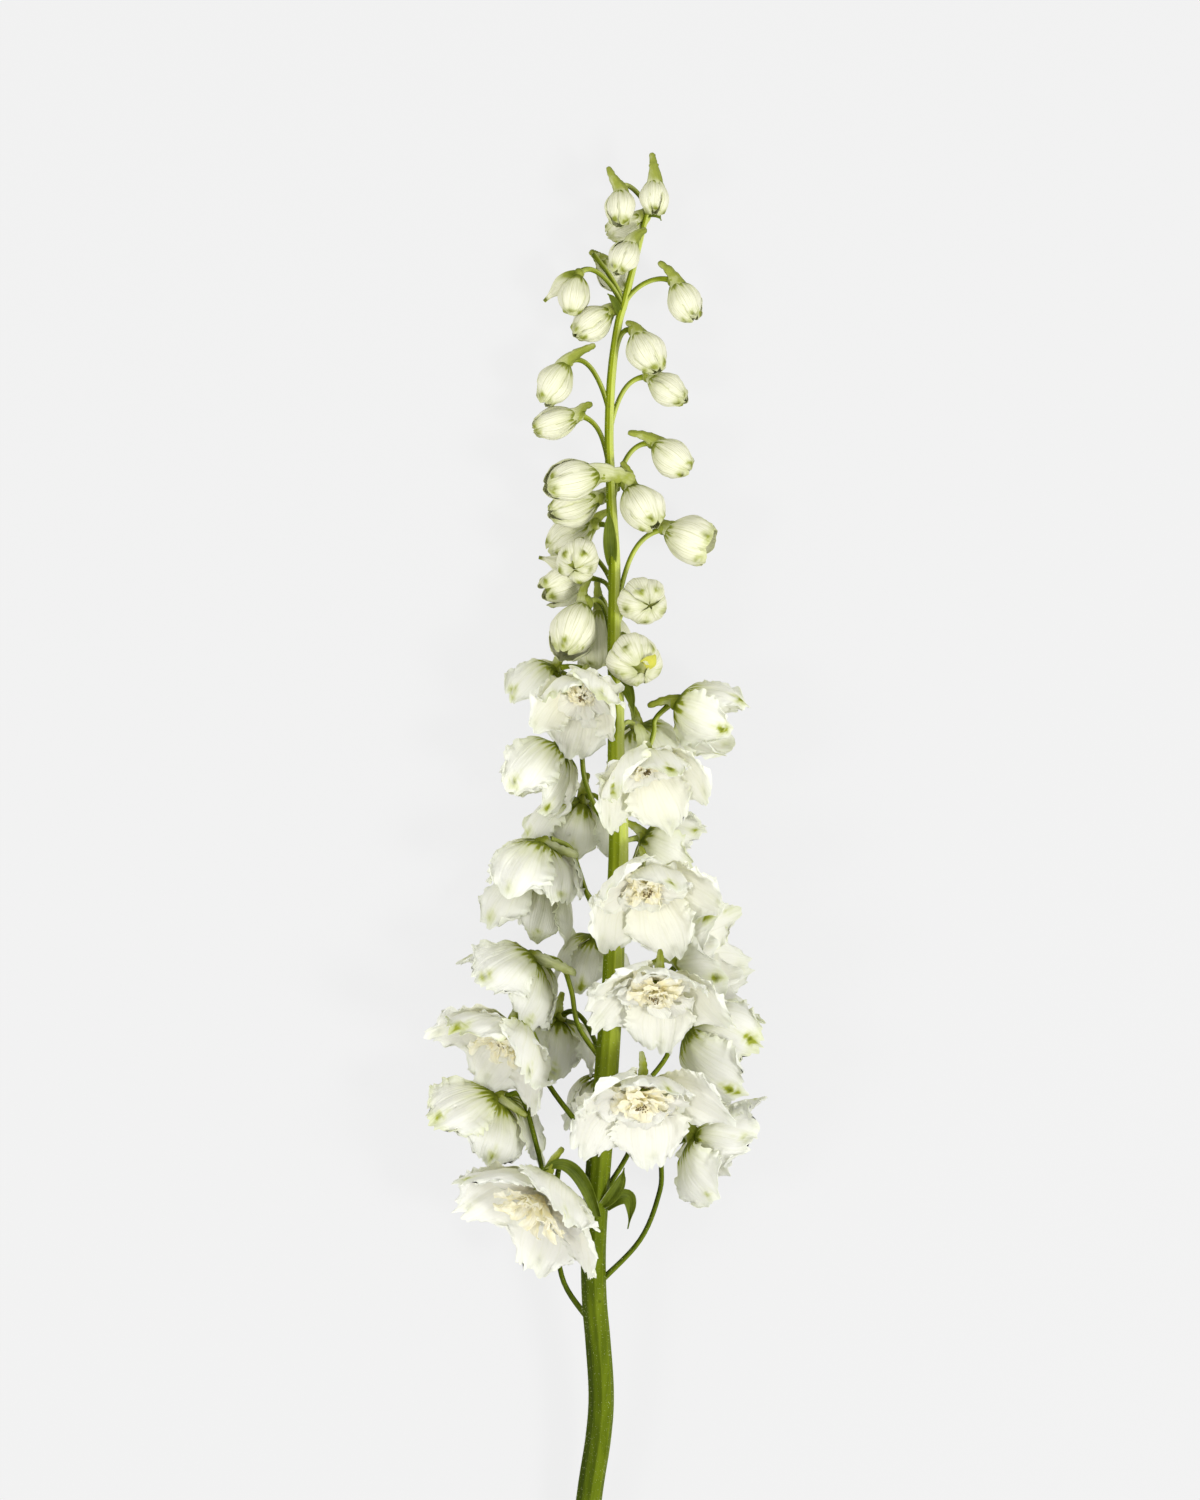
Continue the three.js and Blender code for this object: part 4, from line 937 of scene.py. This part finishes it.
stemLooks = dict(
    dark=(0.23, 0.28, 0.010), mid=(0.38, 0.44, 0.025), pale=(0.52, 0.57, 0.06), streakScale=(500, 14, 500),
    ribStrength=0.5, patchScale=60, patchStrength=0.4, speck=(0.06, 0.065, 0.006), speckScale=170,
    speckEdges=(0.07, 0.15), speckStrength=0.7, lowTint=(0.29, 0.34, 0.16), darkFrom=(0.03, -0.07),
    paintedSideShadeTint=(0.36, 0.40, 0.20), paintedSideShadeFrom=(0.45, -0.6), lit=(0.60, 0.65, 0.22), litStrength=0.6,
    litFrom=(-0.03, 0.06), paintedSideLightFrom=(-0.1, 0.7), cutAt=((-17 + shift[0]) * mm, (-108 + shift[1]) * mm, 4.3 * mm),
    pith=(0.72, 0.74, 0.48), pithShade=(0.50, 0.53, 0.25), cutRing=(0.20, 0.26, 0.03), ringStrength=0.85,
    ringFrom=(2.6 * mm, 3.4 * mm), bump=0.3, bumpDepth=0.0004, roughness=0.5, specular=0.04,
    scatter=0.1, scatterTint=(0.8, 1.0, 0.2),
)
pedicelLooks = dict(
    stemLooks, dark=(0.15, 0.19, 0.008), mid=(0.25, 0.30, 0.014), lowTint=(0.42, 0.48, 0.3),
    streakScale=(300, 80, 300),
)


# fine grains of two colours
def grainSkin(name, looks):
    skin, tree, shader, place = newSkin(name)
    grains = noise(tree, place["Object"], looks["grain"], 2)
    colour = mixed(tree, ranged(tree, grains, 0.4, 0.62), looks["dark"], looks["light"])
    coat(tree, shader, colour, grains, looks)
    return skin


stamenLooks = dict(
    light=(0.24, 0.17, 0.06), dark=(0.07, 0.055, 0.02), grain=3200, bump=0.5, bumpDepth=0.0001,
    roughness=0.75, specular=0.5,
)
hairLooks = dict(
    stamenLooks, light=(0.80, 0.83, 0.55), dark=(0.55, 0.60, 0.25), grain=900, bump=0.1, roughness=0.6,
)

petalWhite = petalSkin("petalWhite", petalLooks)
budCream = petalSkin("budCream", budLooks)
beeCream = petalSkin("beeCream", beeLooks)
bractGreen = petalSkin("bractGreen", bractLooks)
stemGreen = stalkSkin("stemGreen", stemLooks)
pedicelGreen = stalkSkin("pedicelGreen", pedicelLooks)
stamenBrown = grainSkin("stamenBrown", stamenLooks)
hairPale = grainSkin("hairPale", hairLooks)
print("finishes made")


# opens a tree: the geometry comes in first, then the named sizes and the skin
def openTree(name, sizes):
    tree = bpy.data.node_groups.new(name, "GeometryNodeTree")

    def socket(label, kind, way="INPUT"):
        return tree.interface.new_socket(label, in_out=way, socket_type="NodeSocket" + kind)
    socket("Geometry", "Geometry")
    for label, value in sizes.items():
        socket(label, "Int" if isinstance(value, int) else "Float").default_value = value
    socket("Skin", "Material")
    socket("Geometry", "Geometry", "OUTPUT")
    return tree, put(tree, "NodeGroupInput").outputs


# closes it: what was made turns into real faces and takes its skin
def closeTree(tree, given, made):
    real = put(tree, "GeometryNodeRealizeInstances", {"Geometry": made})
    put(tree, "NodeGroupOutput", {
        0: put(tree, "GeometryNodeSetMaterial", {"Geometry": real, "Material": given["Skin"]}),
    })
    return tree


# runs a tree on an object with its inputs set and keeps the result as a plain mesh
def grown(source, tree, values, name):
    modifier = source.modifiers.new(tree.name, "NODES")
    modifier.node_group = tree
    for item in tree.interface.items_tree:
        if item.in_out == "INPUT" and item.name in values:
            modifier[item.identifier] = values[item.name]
    bpy.context.view_layer.update()
    evaluated = source.evaluated_get(bpy.context.evaluated_depsgraph_get())
    mesh = bpy.data.meshes.new_from_object(evaluated)
    mesh.name = name
    source.modifiers.remove(modifier)
    bpy.data.objects.remove(source)
    return placed(name, mesh)


def joined(pieces, name):
    with bpy.context.temp_override(
        active_object=pieces[0], selected_editable_objects=pieces, selected_objects=pieces,
    ):
        bpy.ops.object.join()
    pieces[0].name = pieces[0].data.name = name
    return pieces[0]


def finishPiece(piece, replaced):
    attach(piece, "root")
    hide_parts(replaced)


# a ribbed circle swept along each line, as thick as the line's radius there
def makeStalkTree():
    tree, given = openTree("stalkTree", {"Sides": 18, "Ribs": 9, "Rib Depth": 0.04})
    circle = put(tree, "GeometryNodeCurvePrimitiveCircle", {"Resolution": given["Sides"], "Radius": 1})
    place = put(tree, "GeometryNodeInputPosition")
    x, y, _ = put(tree, "ShaderNodeSeparateXYZ", {0: place}).outputs
    angle = put(tree, "ShaderNodeMath", {0: y, 1: x}, operation="ARCTAN2")
    wave = put(tree, "ShaderNodeMath", {0: times(tree, angle, given["Ribs"])}, operation="COSINE")
    depth = times(tree, wave, given["Rib Depth"])
    scaled = put(tree, "ShaderNodeVectorMath", {0: place, "Scale": depth}, operation="SCALE")
    ribbed = put(tree, "GeometryNodeSetPosition", {"Geometry": circle, "Offset": scaled})
    store = put(tree, "GeometryNodeStoreNamedAttribute", {"Geometry": ribbed, "Name": "rib", "Value": wave},
                data_type="FLOAT", domain="POINT")
    sweep = put(tree, "GeometryNodeCurveToMesh", {
        "Curve": given["Geometry"], "Profile Curve": store, "Fill Caps": True,
        "Scale": put(tree, "GeometryNodeInputRadius"),
    })
    return closeTree(tree, given, put(tree, "GeometryNodeSetShadeSmooth", {"Geometry": sweep}))


stalkTree = makeStalkTree()


# a line with a radius at each point for every stalk, swept into stalks
def stalksOf(name, paths, sizes, skin):
    curve = bpy.data.curves.new(name + "Lines", "CURVE")
    curve.dimensions = "3D"
    for points, radii in paths:
        spline = curve.splines.new("POLY")
        spline.points.add(len(points) - 1)
        for target, point, radius in zip(spline.points, (points + shift) * mm, radii):
            target.co = (*point, 1)
            target.radius = radius * mm
    values = {"Sides": sizes["sides"], "Ribs": sizes["ribs"], "Rib Depth": sizes["ribDepth"], "Skin": skin}
    return grown(placed(name + "Lines", curve), stalkTree, values, name)


stemSizes = dict(sides=36, ribs=9, ribDepth=0.045, stepsBetween=6)


def stemPath():
    rows = np.array(stemStations, float)
    line = throughPoints(rows[:, [1, 0, 2]], stemSizes["stepsBetween"])
    return line, np.interp(line[:, 1], rows[:, 0], rows[:, 3])


pedicelSizes = dict(
    sides=12, ribs=6, ribDepth=0.05, radius=0.8, root=1.5, head=1.35, budFoot=0.72, bloomFoot=0.8, steps=22,
    viaSteps=7,
)


# a pedicel rises from the stem and bends into its bud or bloom
def pedicelPath(row, footShare):
    axes = axesOf(row)
    end = axes["centre"] - axes["into"] * (axes["hub"] * footShare)
    *foot, radius = stemAt(row["joins"])
    span = np.linalg.norm(end - foot)
    if "via" in row:
        path = throughPoints([foot, *row["via"][::-1], end], pedicelSizes["viaSteps"])
    else:
        rise = lerp(foot + np.array([0, 0.35 * span, 0]), end, 0.22)
        turn = end - axes["into"] * 0.3 * span
        t, foot = np.linspace(0, 1, pedicelSizes["steps"])[:, None], np.array(foot)
        path = (1 - t) ** 3 * foot + 3 * (1 - t) ** 2 * t * rise + 3 * (1 - t) * t * t * turn + t ** 3 * end
    t, thin = np.linspace(0, 1, len(path)), pedicelSizes["radius"]
    thick = min(thin * pedicelSizes["root"], radius * 0.8)
    head = thin * (pedicelSizes["head"] - 1)
    return path, thin + (thick - thin) * np.exp(-t / 0.08) + head * np.exp(-(1 - t) / 0.1)


bractSizes = dict(rows=20, columns=11, fold=0.25, point=0.93)


def bractPart(start, bend, tip, width, number):
    t, v = gridOf(bractSizes["rows"], bractSizes["columns"])
    ribs = 0.5 + 0.5 * np.cos(16 * v)
    paint = paintOf(np.clip(0.75 + 0.25 * ribs - 0.25 * np.abs(v), 0, 1) + 0 * t)
    point = 1 - smooth(t, 0.75, 1) * bractSizes["point"]
    broad = width * (0.35 + 0.65 * np.sin(math.pi * np.minimum(t + 0.12, 1))) * point
    return ribbonPart(start, bend, tip, broad, bractSizes["fold"] * width, paint, number)


hairSizes = dict(length=0.55 * mm, width=0.045 * mm, density=500000.0, seed=11, lean=0.5, least=0.5, most=1.2)


# thin three-sided cones that lean a little at random from a surface
def makeHairTree():
    tree, given = openTree("hairTree", {
        "Hair Length": 0.0005, "Hair Width": 0.00005, "Density": 200000.0, "Seed": 3,
    })
    seed, lean = given["Seed"], hairSizes["lean"]
    scatter = put(tree, "GeometryNodeDistributePointsOnFaces", {
        "Mesh": given["Geometry"], "Density": given["Density"], "Seed": seed,
    }).outputs
    hair = put(tree, "GeometryNodeMeshCone", {
        "Vertices": 3, "Radius Bottom": given["Hair Width"], "Depth": given["Hair Length"],
    })
    leans = put(tree, "FunctionNodeRandomValue", {
        "Min": (-lean, -lean, 0), "Max": (lean, lean, 6.2), "Seed": seed,
    }, data_type="FLOAT_VECTOR")
    turned = put(tree, "FunctionNodeRotateRotation", {0: scatter["Rotation"], 1: leans.outputs["Value"]},
                 rotation_space="LOCAL")
    size = put(tree, "FunctionNodeRandomValue", {2: hairSizes["least"], 3: hairSizes["most"], "Seed": seed},
               data_type="FLOAT")
    return closeTree(tree, given, put(tree, "GeometryNodeInstanceOnPoints", {
        "Points": scatter["Points"], "Instance": hair, "Rotation": turned, "Scale": size.outputs[1],
    }))


hairTree = makeHairTree()


# a coat of short hairs for a finished surface
def hairsOn(base):
    return grown(placed(base.name + "Ground", base.data.copy()), hairTree, {
        "Hair Length": hairSizes["length"], "Hair Width": hairSizes["width"], "Density": hairSizes["density"],
        "Seed": hairSizes["seed"], "Skin": hairPale,
    }, base.name + "Hairs")


stemPieces = [stalksOf("mainStem", [stemPath()], stemSizes, stemGreen)]
pedicels = [pedicelPath(row, pedicelSizes["budFoot"]) for row in buds]
pedicels += [pedicelPath(row, pedicelSizes["bloomFoot"]) for row in blooms]
stemPieces.append(stalksOf("pedicels", pedicels, pedicelSizes, pedicelGreen))
stemPieces += [hairsOn(base) for base in list(stemPieces)]
stemPieces.append(meshOf("bractLeaves", [bractPart(*bract, k) for k, bract in enumerate(bracts)], bractGreen))
finishPiece(joined(stemPieces, "spikeStem"), "stem")
print("stem, pedicels and bracts made")


# seeds go by number, so that no two petals are alike
for number, row in enumerate(buds, 1):
    axes, seed = axesOf(row), number * 90
    parts = [petalPart(axes, budForm(row, number, i), seed + i, *budSizes["grid"]) for i in range(5)]
    parts.append(corePart(axes, budForm(dict(row, open=0, mouth=0), number, 0)))
    if row["mouth"] > 0.08:
        inners = [youngInner(row, number, i) for i in range(5)]
        parts += [petalPart(axes, form, seed + 10 + i, *budSizes["innerGrid"]) for i, form in enumerate(inners)]
    if row["peek"]:
        parts.append(peekPart(axes, number))
    if "flare" in row:
        parts.append(flarePart(row, axes, number))
    else:
        parts.append(spurPart(row, axes, number, budSpur))
    parts.append(receptaclePart(axes, axes["hub"]))
    finishPiece(meshOf(f"budSkin_{number:02d}", parts, budCream), f"bud_{number:02d}")
print("buds made")


stamenSizes = dict(
    count=26, spread=0.14, rise=0.3, jitter=(-0.6, 0.8), anther=0.3 * mm, segments=8, rings=6,
    scales=((0.7, 0.6, 0.9), (1.0, 0.8, 1.7)), turns=((0, 0, 0), (1.2, 1.2, 6.2)),
)


# a small stretched ball turned at random on each point
def makeStamenTree():
    tree, given = openTree("stamenTree", {"Anther": 0.0005, "Spread Seed": 7})
    ball = put(tree, "GeometryNodeMeshUVSphere", {
        "Segments": stamenSizes["segments"], "Rings": stamenSizes["rings"], "Radius": given["Anther"],
    })
    size, turn = (
        put(tree, "FunctionNodeRandomValue", {
            "Min": low, "Max": high, "Seed": given["Spread Seed"],
        }, data_type="FLOAT_VECTOR").outputs["Value"]
        for low, high in (stamenSizes["scales"], stamenSizes["turns"])
    )
    return closeTree(tree, given, put(tree, "GeometryNodeInstanceOnPoints", {
        "Points": given["Geometry"], "Instance": ball, "Scale": size, "Rotation": turn,
    }))


stamenTree = makeStamenTree()


def stamensOf(axes, size, seed):
    draws = np.random.default_rng(seed)
    points = []
    for _ in range(stamenSizes["count"]):
        turn = draws.uniform(0, 2 * math.pi)
        out = size * stamenSizes["spread"] * math.sqrt(draws.uniform(0.02, 1))
        up = stamenSizes["rise"] * size + draws.uniform(*stamenSizes["jitter"])
        points.append((movedOut(axes, up)["centre"] + out * spoke(axes, turn) + shift) * mm)
    mesh = bpy.data.meshes.new("stamenPlaces")
    mesh.from_pydata([tuple(point) for point in points], [], [])
    values = {"Anther": stamenSizes["anther"], "Spread Seed": seed, "Skin": stamenBrown}
    return grown(placed("stamenPlaces", mesh), stamenTree, values, "stamens")


gridSizes = dict(fine=(36, 27), plain=(24, 17), inner=((24, 19), (20, 15)))
for number, row in enumerate(blooms, len(buds) + 1):
    axes, seed = axesOf(row), number * 90
    grid = gridSizes["fine" if row["inner"] or row["snug"] else "plain"]
    parts = [petalPart(axes, sepalForm(row, number, i), seed + i, *grid) for i in range(5)]
    for ring, count in enumerate(innerCounts(row)):
        for i in range(count):
            form = innerForm(row, number, i, ring)
            parts.append(petalPart(axes, form, seed + 20 + 10 * ring + i, *gridSizes["inner"][ring]))
    if not row["bee"] and row["open"] > 0.35:
        parts += throatParts(row, axes, number)
    parts.append(spurPart(row, axes, number, bloomSpur))
    parts.append(receptaclePart(axes, axes["hub"] * 0.8))
    finishPiece(meshOf(f"bloomSkin_{number:02d}", parts, petalWhite), f"bloom_{number:02d}")
    if row["bee"]:
        foot = movedOut(axes, axes["hub"] * beeSizes["foot"])
        lobes = [
            petalPart(foot, beeForm(row, number, i, ring), seed + 30 * ring + i, *beeSizes["grid"])
            for ring, count in enumerate(beeSizes["lobes"]) for i in range(count)
        ]
        name = f"beeTuft_{number:02d}"
        tuft = joined([meshOf(name, lobes, beeCream), stamensOf(foot, row["bee"], number)], name)
        finishPiece(tuft, f"bee_{number:02d}")
print("blooms made")

table = dict(size=16.0, drop=0.3 * mm, colour=(0.05, 0.05, 0.05), glow=0.8, roughness=0.9, specular=0.1)
mesh = bpy.data.meshes.new("tableTop")
corners = [(x, y, -table["drop"]) for x, y in ((-1, -1), (1, -1), (1, 1), (-1, 1))]
corners = [(x * table["size"] / 2, y * table["size"] / 2, z) for x, y, z in corners]
mesh.from_pydata(corners, [], [(0, 1, 2, 3)])
paper, _, shader, _ = newSkin("palePaper")
fill(shader, {
    "Base Color": table["colour"], "Emission Color": (1, 1, 1), "Emission Strength": table["glow"],
    "Roughness": table["roughness"], "Specular IOR Level": table["specular"],
})
mesh.materials.append(paper)
placed("tableTop", mesh)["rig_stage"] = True

lights = dict(
    sky=0.92, lampSize=0.4, aim=(0, 0.08, 0), key=(22, (1.1, -0.4, 1.45)), fill=(10, (-1.0, -0.3, 1.3)),
)
scene.world = bpy.data.worlds.new("studio")
scene.world.use_nodes = True
fill(scene.world.node_tree.nodes["Background"], {"Color": (1, 1, 1), "Strength": lights["sky"]})
for name in ("key", "fill"):
    power, at = lights[name]
    lamp = bpy.data.lights.new(name, "AREA")
    lamp.energy = power
    lamp.size = lights["lampSize"]
    holder = placed(name, lamp)
    holder.location = at
    holder.rotation_euler = (Vector(lights["aim"]) - Vector(at)).to_track_quat("-Z", "Y").to_euler()

view = dict(middle=(0.0011, 0.0796), height=2.4, depth=0.025, frameHeight=0.5, sensor=24)
camera = bpy.data.cameras.new("camera")
camera.sensor_fit = "VERTICAL"
camera.sensor_height = view["sensor"]
camera.lens = view["sensor"] * (view["height"] - view["depth"]) / view["frameHeight"]
scene.camera = placed("camera", camera)
scene.camera.location = (*view["middle"], view["height"])
scene.view_settings.view_transform = "Standard"
print("table, lights and camera set")

made = [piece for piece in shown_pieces() if not piece.get("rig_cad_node")]
print("triangles:", sum(len(face.vertices) - 2 for piece in made for face in piece.data.polygons))
